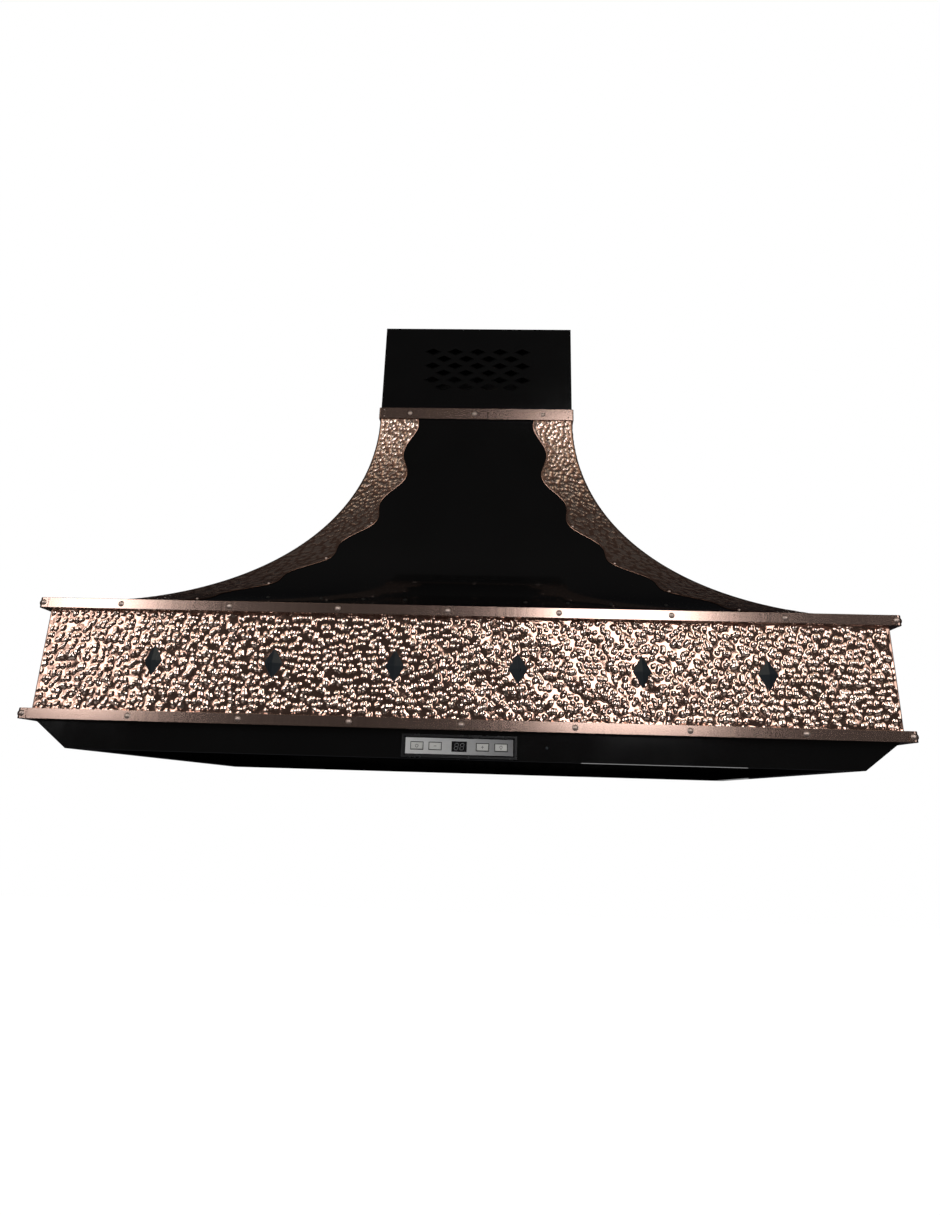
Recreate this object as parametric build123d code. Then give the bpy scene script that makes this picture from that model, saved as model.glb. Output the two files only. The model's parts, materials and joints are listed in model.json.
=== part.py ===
from build123d import *
import os
from math import asin, cos, hypot, pi, sin, sqrt

# Island range hood: a black steel body with hammered copper trim, hung from a ceiling plate.
# Millimetres. The origin is the centre of the bottom edge, +Z is up, the front faces -Y and
# +X is to the right of somebody who stands in front of the hood.

# ---------------------------------------------------------------- driving dimensions
HOOD_WIDTH = 1524.0        # over the copper straps
HOOD_DEPTH = 1066.8        # over the copper straps
STEEL = 1.5                # black steel sheet
COPPER = 1.2               # hammered copper sheet
SOFT_EDGE = 0.7            # easing along the edges of straps, collar and bezel

SKIRT_HEIGHT = 46.0
SKIRT_INSET = 22.0         # the skirt's top edge stands this far inside the strap
SKIRT_END_SLOPE = 62.0     # how far each end slopes inwards towards the bottom
SKIRT_LIP = 30.0           # return flange along the bottom edge

STRAP_HEIGHT = 18.0
STRAP_PROUD = 15.9         # the strap stands this far out from the band
STRAP_WALL = 2.0
STRAP_CORNER = 7.0
BAND_HEIGHT = 175.0

CHIMNEY_WIDTH = 457.2
CHIMNEY_DEPTH = 304.0
BELL_FLARE = 596.0         # horizontal half-axis of the elliptical flare at the ends
BELL_RISE = 535.0          # vertical half-axis of the flare
BELL_DEPTH_RATIO = 0.70    # the front and back flare out this much of the ends' flare
BELL_HEIGHT = 527.0
BELL_NECK = 14.0           # straight neck above the flare, inside the collar

COLLAR_HEIGHT = 28.0
COLLAR_PROUD = 4.0
CHIMNEY_TOP = 1030.0

WAVES = 6                  # waves in the trim along one hip of the bell
WAVE_SIZE = 13.0
TRIM_WIDTH = 80.0
TRIM_GROWTH = 0.03         # the trim widens this much for each millimetre along the hip
WAVE_START = 13.0

# ---------------------------------------------------------------- levels and half sizes
STRAP_X, STRAP_Y = HOOD_WIDTH / 2, HOOD_DEPTH / 2
BAND_X, BAND_Y = STRAP_X - STRAP_PROUD, STRAP_Y - STRAP_PROUD
CHIMNEY_X, CHIMNEY_Y = CHIMNEY_WIDTH / 2, CHIMNEY_DEPTH / 2
SKIRT_X, SKIRT_Y = STRAP_X - SKIRT_INSET, STRAP_Y - SKIRT_INSET

Z_LOWER_STRAP = SKIRT_HEIGHT
Z_BAND = Z_LOWER_STRAP + STRAP_HEIGHT
Z_UPPER_STRAP = Z_BAND + BAND_HEIGHT
Z_BELL = Z_UPPER_STRAP + STRAP_HEIGHT
Z_COLLAR = Z_BELL + BELL_HEIGHT
Z_JOINT = Z_COLLAR + BELL_NECK

NODES = {}


def slab(x0, x1, y0, y1, z0, z1):
    """A box between two corners."""
    middle = ((x0 + x1) / 2, (y0 + y1) / 2, (z0 + z1) / 2)
    return Pos(*middle) * Box(x1 - x0, y1 - y0, z1 - z0)


def block(half_x, half_y, z0, z1, corner=0.0):
    """A centred block, with rounded upright corners if asked for."""
    if corner:
        outline = RectangleRounded(2 * half_x, 2 * half_y, corner)
    else:
        outline = Rectangle(2 * half_x, 2 * half_y)
    return Pos(0, 0, z0) * extrude(outline, z1 - z0)


def soft_block(half_x, half_y, z0, z1, corner):
    """A centred block with rounded corners whose top and bottom edges are eased too."""
    body = block(half_x, half_y, z0, z1, corner)
    faces = body.faces().sort_by(Axis.Z)
    return fillet(faces[0].edges() + faces[-1].edges(), SOFT_EDGE)


def ring(outer, inner, z0, z1, corner=0.0):
    """A rectangular ring between two (half_x, half_y) outlines."""
    inner_corner = max(corner - (outer[0] - inner[0]), 0.0)
    return block(*outer, z0, z1, corner) - block(*inner, z0 - 1, z1 + 1, inner_corner)


def rod(radius, start, end):
    """A round rod from one point to another."""
    start, end = Vector(*start), Vector(*end)
    plane = Plane(origin=start, z_dir=end - start)
    return extrude(plane * Circle(radius), (end - start).length)


def four(shape):
    """A shape and its mirror images in the other three quarters."""
    pair = [shape, mirror(shape, Plane.YZ)]
    return pair + [mirror(each, Plane.XZ) for each in pair]


def keep(name, shape):
    """Store one piece, or one group of equal pieces, under its node name."""
    solids = []
    for each in shape if isinstance(shape, list) else [shape]:
        solids.extend(each.solids())
    NODES[name] = Compound(children=solids) if len(solids) > 1 else solids[0]


# ---------------------------------------------------------------- the bell's shape
# Each side of the bell is a quarter of an elliptical hollow. An angle of 0 is the top of the
# flare, where the sheet is upright, and BELL_END is its foot on the upper strap.
BELL_END = asin(BELL_HEIGHT / BELL_RISE)
BELL_STEPS = 96


def flare(angle):
    """How far the end of the bell stands out from the chimney at an angle on the flare."""
    return BELL_FLARE * (1 - cos(angle))


def bell_point(end, angle, along, lift=0.0):
    """A point on an end (True) or on the front (False) of the bell, and the way it faces."""
    half = CHIMNEY_X if end else CHIMNEY_Y
    axis = BELL_FLARE * (1.0 if end else BELL_DEPTH_RATIO)
    out = half + axis * (1 - cos(angle))
    normal = Vector(cos(angle) / axis, 0, sin(angle) / BELL_RISE).normalized()
    out += lift * normal.X
    height = Z_COLLAR - BELL_RISE * sin(angle) + lift * normal.Z
    if end:
        return Vector(out, along, height), normal
    return Vector(along, -out, height), Vector(0, -normal.X, normal.Z)


def hip_table():
    """Angle, and length along the hip from the top, in small steps."""
    table, length, last = [], 0.0, None
    for step in range(BELL_STEPS + 1):
        angle = BELL_END * step / BELL_STEPS
        out, height = flare(angle), BELL_RISE * sin(angle)
        here = (out, BELL_DEPTH_RATIO * out, height)
        if last:
            length += sqrt(sum((a - b) ** 2 for a, b in zip(here, last)))
        table.append((angle, length))
        last = here
    return table


HIP = hip_table()
WAVE_LENGTH = HIP[-1][1] / WAVES


def trim_inset(length):
    """Width of the trim, measured level from the hip, at a length down the hip."""
    wave = WAVE_SIZE * cos(2 * pi * (length - WAVE_START) / WAVE_LENGTH)
    return TRIM_WIDTH + TRIM_GROWTH * length + wave


def bell_shell(end, inner, outer, neck_top):
    """A curved sheet on the right end or the front of the bell, between two lifts."""
    half = CHIMNEY_X if end else CHIMNEY_Y
    axis = BELL_FLARE * (1.0 if end else BELL_DEPTH_RATIO)
    centre = half + axis
    long = 2 * STRAP_X
    sheet = Ellipse(axis - inner, BELL_RISE - inner) - Ellipse(axis - outer, BELL_RISE - outer)
    if end:
        plane = Plane(origin=(centre, long / 2, Z_COLLAR), x_dir=(1, 0, 0), z_dir=(0, -1, 0))
        room = slab(CHIMNEY_X - 20, centre, -long, long, Z_BELL, Z_COLLAR)
        neck = slab(half + inner, half + outer, -long / 2, long / 2, Z_COLLAR, neck_top)
    else:
        plane = Plane(origin=(-long / 2, -centre, Z_COLLAR), x_dir=(0, 1, 0), z_dir=(1, 0, 0))
        room = slab(-long, long, -centre, 20 - CHIMNEY_Y, Z_BELL, Z_COLLAR)
        neck = slab(-long / 2, long / 2, -half - outer, -half - inner, Z_COLLAR, neck_top)
    return extrude(plane * sheet, long) & room, neck


def hip_wedge(end):
    """All the room that belongs to the right end, or to the front, between the two hips."""
    far = 2 * STRAP_X
    reach = CHIMNEY_Y + (far - CHIMNEY_X) * BELL_DEPTH_RATIO
    near = CHIMNEY_X - CHIMNEY_Y / BELL_DEPTH_RATIO
    if end:
        outline = Polyline((near, 0), (far, reach), (far, -reach), close=True)
    else:
        outline = Polyline((near, 0), (far, -reach), (-far, -reach), (-near, 0), close=True)
    return extrude(make_face(outline), CHIMNEY_TOP)


def bell_panel(end):
    """One side of the bell, with its straight neck, mitred at the hips."""
    curve, neck = bell_shell(end, -STEEL, 0.0, Z_JOINT)
    wedge = hip_wedge(end)
    return (curve & wedge) + (neck & wedge)


def trim_cutter(end):
    """A thick plate with the wavy outline of the trim beside the front right hip."""
    edge = []
    for angle, length in HIP[::2]:
        out = flare(angle) * (1.0 if end else BELL_DEPTH_RATIO)
        half = (CHIMNEY_Y if end else CHIMNEY_X) + flare(angle) * (BELL_DEPTH_RATIO if end else 1.0)
        edge.append((half - trim_inset(length), Z_COLLAR - BELL_RISE * sin(angle)))
    top, foot, far = edge[0], edge[-1], STRAP_X + 200
    wave = Spline(*edge)
    around = Polyline(foot, (foot[0], Z_BELL - 10), (far, Z_BELL - 10),
                      (far, Z_JOINT), (top[0], Z_JOINT), top)
    face = make_face(Wire([*wave.edges(), *around.edges()]))
    if end:
        return extrude(Plane(origin=(0, 0, 0), x_dir=(0, -1, 0), z_dir=(-1, 0, 0)) * face, -STRAP_X)
    return extrude(Plane.XZ * face, STRAP_X)


def corner_trim():
    """The hammered trim that wraps the front right hip, in one piece."""
    halves = []
    for end in (False, True):
        curve, neck = bell_shell(end, 0.0, COPPER, Z_COLLAR + 6)
        wedge, cutter = hip_wedge(end), trim_cutter(end)
        halves.append(((curve & wedge) + (neck & wedge)) & cutter)
    return halves[0] + halves[1]


def make_bell():
    front, end = bell_panel(False), bell_panel(True)
    keep("bell_panel_front", front)
    keep("bell_panel_back", mirror(front, Plane.XZ))
    keep("bell_panel_right", end)
    keep("bell_panel_left", mirror(end, Plane.YZ))
    names = ("front_right", "front_left", "back_right", "back_left")
    for name, trim in zip(names, four(corner_trim())):
        keep(f"corner_trim_{name}", trim)


def dome(radius, height, where, facing):
    """A low round head standing on a surface."""
    ball = (radius ** 2 + height ** 2) / (2 * height)
    head = Pos(0, 0, height - ball) * Sphere(ball) & Pos(0, 0, height / 2) * Box(
        2 * radius + 1, 2 * radius + 1, height)
    return Plane(origin=where, z_dir=facing).location * head


NAIL_RADIUS, NAIL_HEIGHT, NAIL_MARGIN = 3.0, 2.0, 7.0
SCREW_RADIUS, SCREW_HEIGHT = 4.0, 2.2
SCREW_LEVEL = 293.0
HEAD_GAP = 0.02            # keeps a flat head clear of a hollow surface
BASE_SCREWS = {False: (116.0, 197.0, 279.0, 383.0), True: (90.0, 240.0)}


def make_bell_fasteners():
    nails, screws = [], []
    for end in (False, True):
        half = CHIMNEY_Y if end else CHIMNEY_X
        for wave in range(1, WAVES):
            length = WAVE_START + wave * WAVE_LENGTH
            angle = next(angle for angle, at in HIP if at >= length)
            out = half + flare(angle) * (BELL_DEPTH_RATIO if end else 1.0)
            along = out - trim_inset(length) + NAIL_MARGIN
            where, facing = bell_point(end, angle, -along if end else along, COPPER + HEAD_GAP)
            nails += four(dome(NAIL_RADIUS, NAIL_HEIGHT, where, facing))
        angle = asin((Z_COLLAR - SCREW_LEVEL) / BELL_RISE)
        for along in BASE_SCREWS[end]:
            where, facing = bell_point(end, angle, along, HEAD_GAP)
            screws += four(dome(SCREW_RADIUS, SCREW_HEIGHT, where, facing))
    keep("trim_nails", nails)
    keep("bell_base_screws", screws)


# ---------------------------------------------------------------- chimney
VENT_ROWS = 6
VENT_PITCH, VENT_ROW_PITCH = 55.0, 19.2
VENT_WIDTH, VENT_HEIGHT = 36.0, 16.5
VENT_LEVEL = 918.0
VENT_LIP, VENT_LIP_HEIGHT, VENT_LIP_TAPER = 1.6, 1.2, 30.0
LAP = 15.0                 # inner lap where the two chimney covers meet
LAP_FOOT, LAP_HEAD = 10.0, 5.0         # the lap stops this far from the cover's two edges


def lozenge(width, height):
    return make_face(Polyline((width / 2, 0), (0, height / 2), (-width / 2, 0),
                              (0, -height / 2), close=True))


def vent_places():
    """Centres of the staggered openings: five, four, five, four and so on."""
    for row in range(VENT_ROWS):
        count = 5 - row % 2
        level = VENT_LEVEL + (VENT_ROWS / 2 - 0.5 - row) * VENT_ROW_PITCH
        for column in range(count):
            yield (column - (count - 1) / 2) * VENT_PITCH, level


def make_chimney():
    cover = ring((CHIMNEY_X, CHIMNEY_Y), (CHIMNEY_X - STEEL, CHIMNEY_Y - STEEL), Z_JOINT, CHIMNEY_TOP)
    cover &= slab(-CHIMNEY_X, CHIMNEY_X, -CHIMNEY_Y, 0, Z_JOINT, CHIMNEY_TOP)
    aspect = VENT_WIDTH / VENT_HEIGHT
    for x, z in vent_places():
        face = Plane(origin=(x, -CHIMNEY_Y, z), x_dir=(1, 0, 0), z_dir=(0, -1, 0))
        grown = lozenge(VENT_WIDTH + 2 * VENT_LIP * aspect, VENT_HEIGHT + 2 * VENT_LIP)
        cover += extrude(face * grown, VENT_LIP_HEIGHT, taper=VENT_LIP_TAPER)
    for x, z in vent_places():
        face = Plane(origin=(x, -CHIMNEY_Y - 2 * STEEL, z), x_dir=(1, 0, 0), z_dir=(0, -1, 0))
        cover -= extrude(face * lozenge(VENT_WIDTH, VENT_HEIGHT), -4 * STEEL)
    keep("chimney_cover_front", cover)
    inside = CHIMNEY_X - STEEL
    lap = slab(inside - STEEL, inside, -LAP, LAP, Z_JOINT + LAP_FOOT, CHIMNEY_TOP - LAP_HEAD)
    keep("chimney_cover_back", mirror(cover, Plane.XZ) + lap + mirror(lap, Plane.YZ))


COLLAR_SKIN = 2.8
COLLAR_RIVETS = (-158.0, -3.0, 160.0)
COLLAR_PIN_X, COLLAR_PINS = 220.0, (8.0, -8.0)
PIN_RADIUS, PIN_HEIGHT = 1.8, 1.0
BACKING_REACH = 8.0        # the backing frame covers the joint this far up and down
RIVET_RADIUS, RIVET_HEIGHT = 5.2, 2.4
SHANK_RADIUS, SHANK_LENGTH = 2.0, 4.0


def rivet(where, facing, length=SHANK_LENGTH):
    """A round head rivet: its shank runs back through the copper."""
    where, facing = Vector(*where), Vector(*facing)
    shank = rod(SHANK_RADIUS, tuple(where - facing * length), tuple(where))
    return dome(RIVET_RADIUS, RIVET_HEIGHT, where, facing) + shank


def rivet_hole(where, facing):
    where, facing = Vector(*where), Vector(*facing)
    return rod(SHANK_RADIUS, tuple(where - facing * 1.5 * SHANK_LENGTH), tuple(where + facing))


def collar_rivet_places():
    level = Z_COLLAR + COLLAR_HEIGHT / 2
    y = CHIMNEY_Y + COLLAR_PROUD
    for side in (-1, 1):
        for x in COLLAR_RIVETS:
            yield (-side * x, side * y, level), (0, side, 0)
        yield (side * (CHIMNEY_X + COLLAR_PROUD), 0, level), (side, 0, 0)


def collar_pins():
    level = Z_COLLAR + COLLAR_HEIGHT / 2
    pins = []
    for up in COLLAR_PINS:
        where = (COLLAR_PIN_X, -CHIMNEY_Y - COLLAR_PROUD, level + up)
        pins += four(dome(PIN_RADIUS, PIN_HEIGHT, where, (0, -1, 0)))
    return pins


def make_collar():
    skin = COLLAR_PROUD - COLLAR_SKIN
    outer = (CHIMNEY_X + COLLAR_PROUD, CHIMNEY_Y + COLLAR_PROUD)
    inner = (CHIMNEY_X + skin, CHIMNEY_Y + skin)
    z0, z1 = Z_COLLAR, Z_COLLAR + COLLAR_HEIGHT
    collar = soft_block(*outer, z0, z1, COLLAR_SKIN) - block(*inner, z0 - 1, z1 + 1)
    for where, facing in collar_rivet_places():
        collar -= rivet_hole(where, facing)
    keep("collar_trim", collar)
    ring_outer = (CHIMNEY_X - STEEL, CHIMNEY_Y - STEEL)
    ring_inner = (UPRIGHT_X, UPRIGHT_Y)
    backing = ring(ring_outer, ring_inner, Z_JOINT - BACKING_REACH, Z_JOINT + BACKING_REACH)
    keep("collar_backing_frame", backing)


# ---------------------------------------------------------------- hanging frame
UPRIGHT_X, UPRIGHT_Y = 215.0, 138.5
ANGLE_LEG, ANGLE_WALL = 30.0, 3.0
PLATE_X, PLATE_Y, PLATE_THICK = 222.0, 146.0, 3.0
BOLT_X, BOLT_Y, BOLT_HOLE = 180.0, 100.0, 4.5
WIRE_HOLE = 15.0
RAIL_Y, RAIL_WIDTH, RAIL_HEIGHT, RAIL_WALL = 120.0, 30.0, 24.0, 2.5
FRAME_LEG, FRAME_WALL = 25.0, 3.0
Z_BAND_FOOT = Z_LOWER_STRAP + STRAP_WALL
Z_BAND_HEAD = Z_BELL - STRAP_WALL
Z_DECK = Z_BAND_HEAD - FRAME_WALL      # top of the two rails that carry the blower
FRAME_X, FRAME_Y = BAND_X - COPPER, BAND_Y - COPPER


def make_hanging_frame():
    plate = block(PLATE_X, PLATE_Y, CHIMNEY_TOP - PLATE_THICK, CHIMNEY_TOP)
    for x in (-BOLT_X, BOLT_X):
        for y in (-BOLT_Y, BOLT_Y):
            plate -= rod(BOLT_HOLE, (x, y, CHIMNEY_TOP - 10), (x, y, CHIMNEY_TOP + 10))
    plate -= rod(WIRE_HOLE, (0, 0, CHIMNEY_TOP - 10), (0, 0, CHIMNEY_TOP + 10))
    keep("ceiling_plate", plate)
    x0, y0, z1 = UPRIGHT_X - ANGLE_LEG, UPRIGHT_Y - ANGLE_LEG, CHIMNEY_TOP - PLATE_THICK
    upright = slab(UPRIGHT_X - ANGLE_WALL, UPRIGHT_X, y0, UPRIGHT_Y, Z_DECK, z1)
    upright += slab(x0, UPRIGHT_X, UPRIGHT_Y - ANGLE_WALL, UPRIGHT_Y, Z_DECK, z1)
    keep("hanger_uprights", four(upright))


def make_body_frame():
    leg, wall = FRAME_LEG, FRAME_WALL
    inner = (FRAME_X - wall, FRAME_Y - wall)
    ledge = (FRAME_X - leg, FRAME_Y - leg)
    frame = ring((FRAME_X, FRAME_Y), inner, Z_BAND_FOOT, Z_BAND_FOOT + leg)
    frame += ring((FRAME_X, FRAME_Y), ledge, Z_BAND_FOOT, Z_BAND_FOOT + wall)
    frame += ring((FRAME_X, FRAME_Y), inner, Z_BAND_HEAD - leg, Z_BAND_HEAD)
    frame += ring((FRAME_X, FRAME_Y), ledge, Z_BAND_HEAD - wall, Z_BAND_HEAD)
    post = slab(FRAME_X - wall, FRAME_X, FRAME_Y - leg, FRAME_Y, Z_BAND_FOOT, Z_BAND_HEAD)
    post += slab(FRAME_X - leg, FRAME_X, FRAME_Y - wall, FRAME_Y, Z_BAND_FOOT, Z_BAND_HEAD)
    for each in four(post):
        frame += each
    keep("body_frame", frame)
    long = FRAME_X - wall
    rail = slab(-long, long, RAIL_Y - RAIL_WIDTH / 2, RAIL_Y + RAIL_WIDTH / 2,
                Z_DECK - RAIL_HEIGHT, Z_DECK)
    rail -= slab(-long, long, RAIL_Y - RAIL_WIDTH / 2 + RAIL_WALL, RAIL_Y + RAIL_WIDTH / 2 - RAIL_WALL,
                 Z_DECK - RAIL_HEIGHT, Z_DECK - RAIL_WALL)
    keep("blower_rails", [rail, mirror(rail, Plane.XZ)])


# ---------------------------------------------------------------- copper band
STUD_PITCH, STUD_SHIFT = 215.0, -7.0
STUD_WIDTH, STUD_HEIGHT, STUD_PROUD = 34.0, 57.0, 8.5
STUD_SHANK, STUD_SHANK_LENGTH = 2.5, 8.0
STUD_TIP = 0.02            # the tip's size as a share of the base
SIDE_STUDS, SIDE_STUD_PITCH = 4, 215.0
STUD_LEVEL = Z_BAND + BAND_HEIGHT / 2


def stud_places():
    """Centres and facings of the diamond studs around the band."""
    for side in (-1, 1):
        for k in range(6):
            yield (-side * ((k - 2.5) * STUD_PITCH + STUD_SHIFT), side * BAND_Y, STUD_LEVEL), (0, side, 0)
        for k in range(SIDE_STUDS):
            y = (k - (SIDE_STUDS - 1) / 2) * SIDE_STUD_PITCH
            yield (side * BAND_X, y, STUD_LEVEL), (side, 0, 0)


def diamond_stud(where, facing):
    """A four-sided pyramid on a shank through the band."""
    across = (facing[1], -facing[0], 0)
    plane = Plane(origin=where, x_dir=across, z_dir=facing)
    base = plane * lozenge(STUD_WIDTH, STUD_HEIGHT)
    tip = Plane(origin=Vector(*where) + Vector(*facing) * STUD_PROUD, x_dir=across,
                z_dir=facing) * lozenge(STUD_WIDTH * STUD_TIP, STUD_HEIGHT * STUD_TIP)
    back = Vector(*where) - Vector(*facing) * STUD_SHANK_LENGTH
    return loft([base, tip]) + rod(STUD_SHANK, tuple(back), where)


def make_band():
    z0, z1 = Z_BAND_FOOT, Z_BAND_HEAD
    front = slab(-BAND_X, BAND_X, -BAND_Y, COPPER - BAND_Y, z0, z1)
    back = slab(-BAND_X, BAND_X, BAND_Y - COPPER, BAND_Y, z0, z1)
    left = slab(-BAND_X, COPPER - BAND_X, COPPER - BAND_Y, BAND_Y - COPPER, z0, z1)
    right = slab(BAND_X - COPPER, BAND_X, COPPER - BAND_Y, BAND_Y - COPPER, z0, z1)
    studs = []
    for where, facing in stud_places():
        studs.append(diamond_stud(where, facing))
        back_point = tuple(Vector(*where) - Vector(*facing) * STUD_SHANK_LENGTH)
        hole = rod(STUD_SHANK, back_point, tuple(Vector(*where) + Vector(*facing)))
        if facing[1] < 0:
            front -= hole
        elif facing[1] > 0:
            back -= hole
        elif facing[0] < 0:
            left -= hole
        else:
            right -= hole
    keep("band_panel_front", front)
    keep("band_panel_back", back)
    keep("band_panel_left", left)
    keep("band_panel_right", right)
    keep("diamond_studs", studs)


# ---------------------------------------------------------------- straps
UPPER_RIVET_PITCH, UPPER_RIVET_SHIFT = 196.0, -24.0
LOWER_RIVET_PITCH, LOWER_RIVET_SHIFT = 191.5, 6.0
SIDE_RIVETS, SIDE_RIVET_PITCH = 5, 178.0
CORNER_RIVET = 8.0         # from the strap's end to its last rivet
WRAP_LENGTH, WRAP_THICK = 16.0, 0.8
LOWER_LEDGE = 30.0         # flange that carries the band's frame
UPPER_LEDGE = (62.0, 53.0)


def strap_rivet_places(z0, pitch, shift):
    """Seven rivets along the front and back, five along each end, and two at every corner."""
    level = z0 + STRAP_HEIGHT / 2
    for side in (-1, 1):
        for k in range(-3, 4):
            yield (-side * (k * pitch + shift), side * STRAP_Y, level), (0, side, 0)
        for k in range(SIDE_RIVETS):
            y = (k - (SIDE_RIVETS - 1) / 2) * SIDE_RIVET_PITCH
            yield (side * STRAP_X, y, level), (side, 0, 0)


def corner_rivets(z0):
    level = z0 + STRAP_HEIGHT / 2
    front = (STRAP_X - CORNER_RIVET, -STRAP_Y - WRAP_THICK, level)
    end = (STRAP_X + WRAP_THICK, CORNER_RIVET - STRAP_Y, level)
    flat = dome(RIVET_RADIUS, RIVET_HEIGHT, front, (0, -1, 0))
    return four(flat) + four(dome(RIVET_RADIUS, RIVET_HEIGHT, end, (1, 0, 0)))


def strap(z0, top_inner, bottom_inner, pitch, shift):
    """A channel ring, open inwards, with a thin clip wrapped round each corner."""
    outer, z1 = (STRAP_X, STRAP_Y), z0 + STRAP_HEIGHT
    wall = (STRAP_X - STRAP_WALL, STRAP_Y - STRAP_WALL)
    whole = soft_block(*outer, z0, z1, STRAP_CORNER)
    body = whole - block(*wall, z0 + STRAP_WALL, z1 - STRAP_WALL, STRAP_CORNER - STRAP_WALL)
    body -= block(*top_inner, z1 - 2 * STRAP_WALL, z1 + 1)
    body -= block(*bottom_inner, z0 - 1, z0 + 2 * STRAP_WALL)
    for where, facing in strap_rivet_places(z0, pitch, shift):
        body -= rivet_hole(where, facing)
    grown = (STRAP_X + WRAP_THICK, STRAP_Y + WRAP_THICK)
    clip = soft_block(*grown, z0, z1, STRAP_CORNER + WRAP_THICK) - whole
    clip &= slab(STRAP_X - WRAP_LENGTH, STRAP_X + 10, -STRAP_Y - 10, WRAP_LENGTH - STRAP_Y, z0, z1)
    return [body] + four(clip)


def make_straps():
    flush = (BAND_X, BAND_Y)
    lower_ledge = (BAND_X - LOWER_LEDGE, BAND_Y - LOWER_LEDGE)
    upper_ledge = (STRAP_X - UPPER_LEDGE[0], STRAP_Y - UPPER_LEDGE[1])
    keep("lower_strap", strap(Z_LOWER_STRAP, flush, lower_ledge, LOWER_RIVET_PITCH, LOWER_RIVET_SHIFT))
    keep("upper_strap", strap(Z_UPPER_STRAP, upper_ledge, flush, UPPER_RIVET_PITCH, UPPER_RIVET_SHIFT))
    rivets = corner_rivets(Z_LOWER_STRAP) + corner_rivets(Z_UPPER_STRAP) + collar_pins()
    places = list(strap_rivet_places(Z_LOWER_STRAP, LOWER_RIVET_PITCH, LOWER_RIVET_SHIFT))
    places += strap_rivet_places(Z_UPPER_STRAP, UPPER_RIVET_PITCH, UPPER_RIVET_SHIFT)
    rivets += [rivet(where, facing) for where, facing in places]
    rivets += [rivet(where, facing, COLLAR_SKIN) for where, facing in collar_rivet_places()]
    keep("strap_rivets", rivets)


# ---------------------------------------------------------------- skirt and underside
SKIRT_FOOT_X = SKIRT_X - SKIRT_END_SLOPE
PAN_X, PAN_Y, PAN_TOP = 658.0, 490.0, 42.0
PAN_FLANGE = 10.0
PAN_SCREWS_X, PAN_SCREWS_Y, PAN_SCREW_END = 400.0, 320.0, 10.0
STOP_INSET = 20.0          # the strip the filters slide back to stops this far from the ends
FILTERS = ("left", "centre", "right")
FILTER_PITCH = 420.0
FILTER_X, FILTER_Y = 198.0, 235.0
FILTER_TOP = 62.0
FILTER_TRAVEL = 12.5
FILTER_GAP = 0.3
FILTER_WALL = 1.2
FILTER_RIM_X, FILTER_RIM_Y = 22.0, 30.0
BAFFLES, BAFFLE_PITCH, BAFFLE_WIDTH, BAFFLE_HEIGHT = 9, 39.0, 26.0, 8.0
GRIP_RADIUS, GRIP_X, GRIP_INSET, GRIP_DROP = 2.5, 40.0, 22.0, 18.0
MOUTH_X, MOUTH_Y = 200.0, 223.0
LAMP_X, LAMP_Y = 330.0, 360.0
LAMP_RADIUS, LAMP_FLANGE, LAMP_WALL, LAMP_DEPTH = 33.5, 39.0, 1.5, 34.0
LENS_SEAT, LENS_THICK = 1.0, 2.5
PANEL_X = 2.5              # the control panel sits a touch right of centre
PANEL_Z = 20.5
BEZEL_WIDTH, BEZEL_HEIGHT, BEZEL_PROUD = 196.5, 38.5, 3.2
PLATE_WIDTH, PLATE_HEIGHT, PLATE_PROUD = 183.0, 26.0, 1.4
SLOT_WIDTH, SLOT_HEIGHT = 178.0, 21.0


def sloped_block(inset, z0, z1):
    """The skirt's body, shrunk on every side by the inset, with its two sloping ends."""
    slope = SKIRT_END_SLOPE / SKIRT_HEIGHT
    end_inset = inset * hypot(1.0, slope)
    top_x = SKIRT_X - end_inset - (SKIRT_HEIGHT - z1) * slope
    foot_x = SKIRT_X - end_inset - (SKIRT_HEIGHT - z0) * slope
    outline = Polyline((-foot_x, z0), (foot_x, z0), (top_x, z1), (-top_x, z1), close=True)
    face = Plane(origin=(0, SKIRT_Y - inset, 0), x_dir=(1, 0, 0), z_dir=(0, -1, 0)) * make_face(outline)
    return extrude(face, 2 * (SKIRT_Y - inset))


def screw_places():
    """Screws that hold the pan to the skirt's lip."""
    x, y = PAN_X + PAN_FLANGE / 2, PAN_Y + PAN_FLANGE / 2
    places = [(side * x, k * PAN_SCREWS_Y) for side in (-1, 1) for k in (-1, 0, 1)]
    return places + [(k * PAN_SCREWS_X, side * y) for side in (-1, 1) for k in (-1, 0, 1)]


def make_skirt():
    skirt = sloped_block(0.0, 0.0, SKIRT_HEIGHT) - sloped_block(STEEL, -2.0, SKIRT_HEIGHT + 2.0)
    lip = sloped_block(0.0, 0.0, STEEL)
    lip -= block(SKIRT_FOOT_X - SKIRT_LIP, SKIRT_Y - SKIRT_LIP, -1, STEEL + 1)
    skirt += lip
    front = -SKIRT_Y
    skirt -= slab(PANEL_X - SLOT_WIDTH / 2, PANEL_X + SLOT_WIDTH / 2, front - 1, front + 5,
                  PANEL_Z - SLOT_HEIGHT / 2, PANEL_Z + SLOT_HEIGHT / 2)
    screws = []
    for x, y in screw_places():
        skirt -= rod(SCREW_RADIUS, (x, y, -1), (x, y, STEEL + 1))
        screws.append(rod(SCREW_RADIUS - 0.2, (x, y, 0), (x, y, STEEL))
                      + rod(SHANK_RADIUS, (x, y, STEEL), (x, y, PAN_SCREW_END)))
    keep("skirt", skirt)
    keep("liner_screws", screws)


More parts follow.
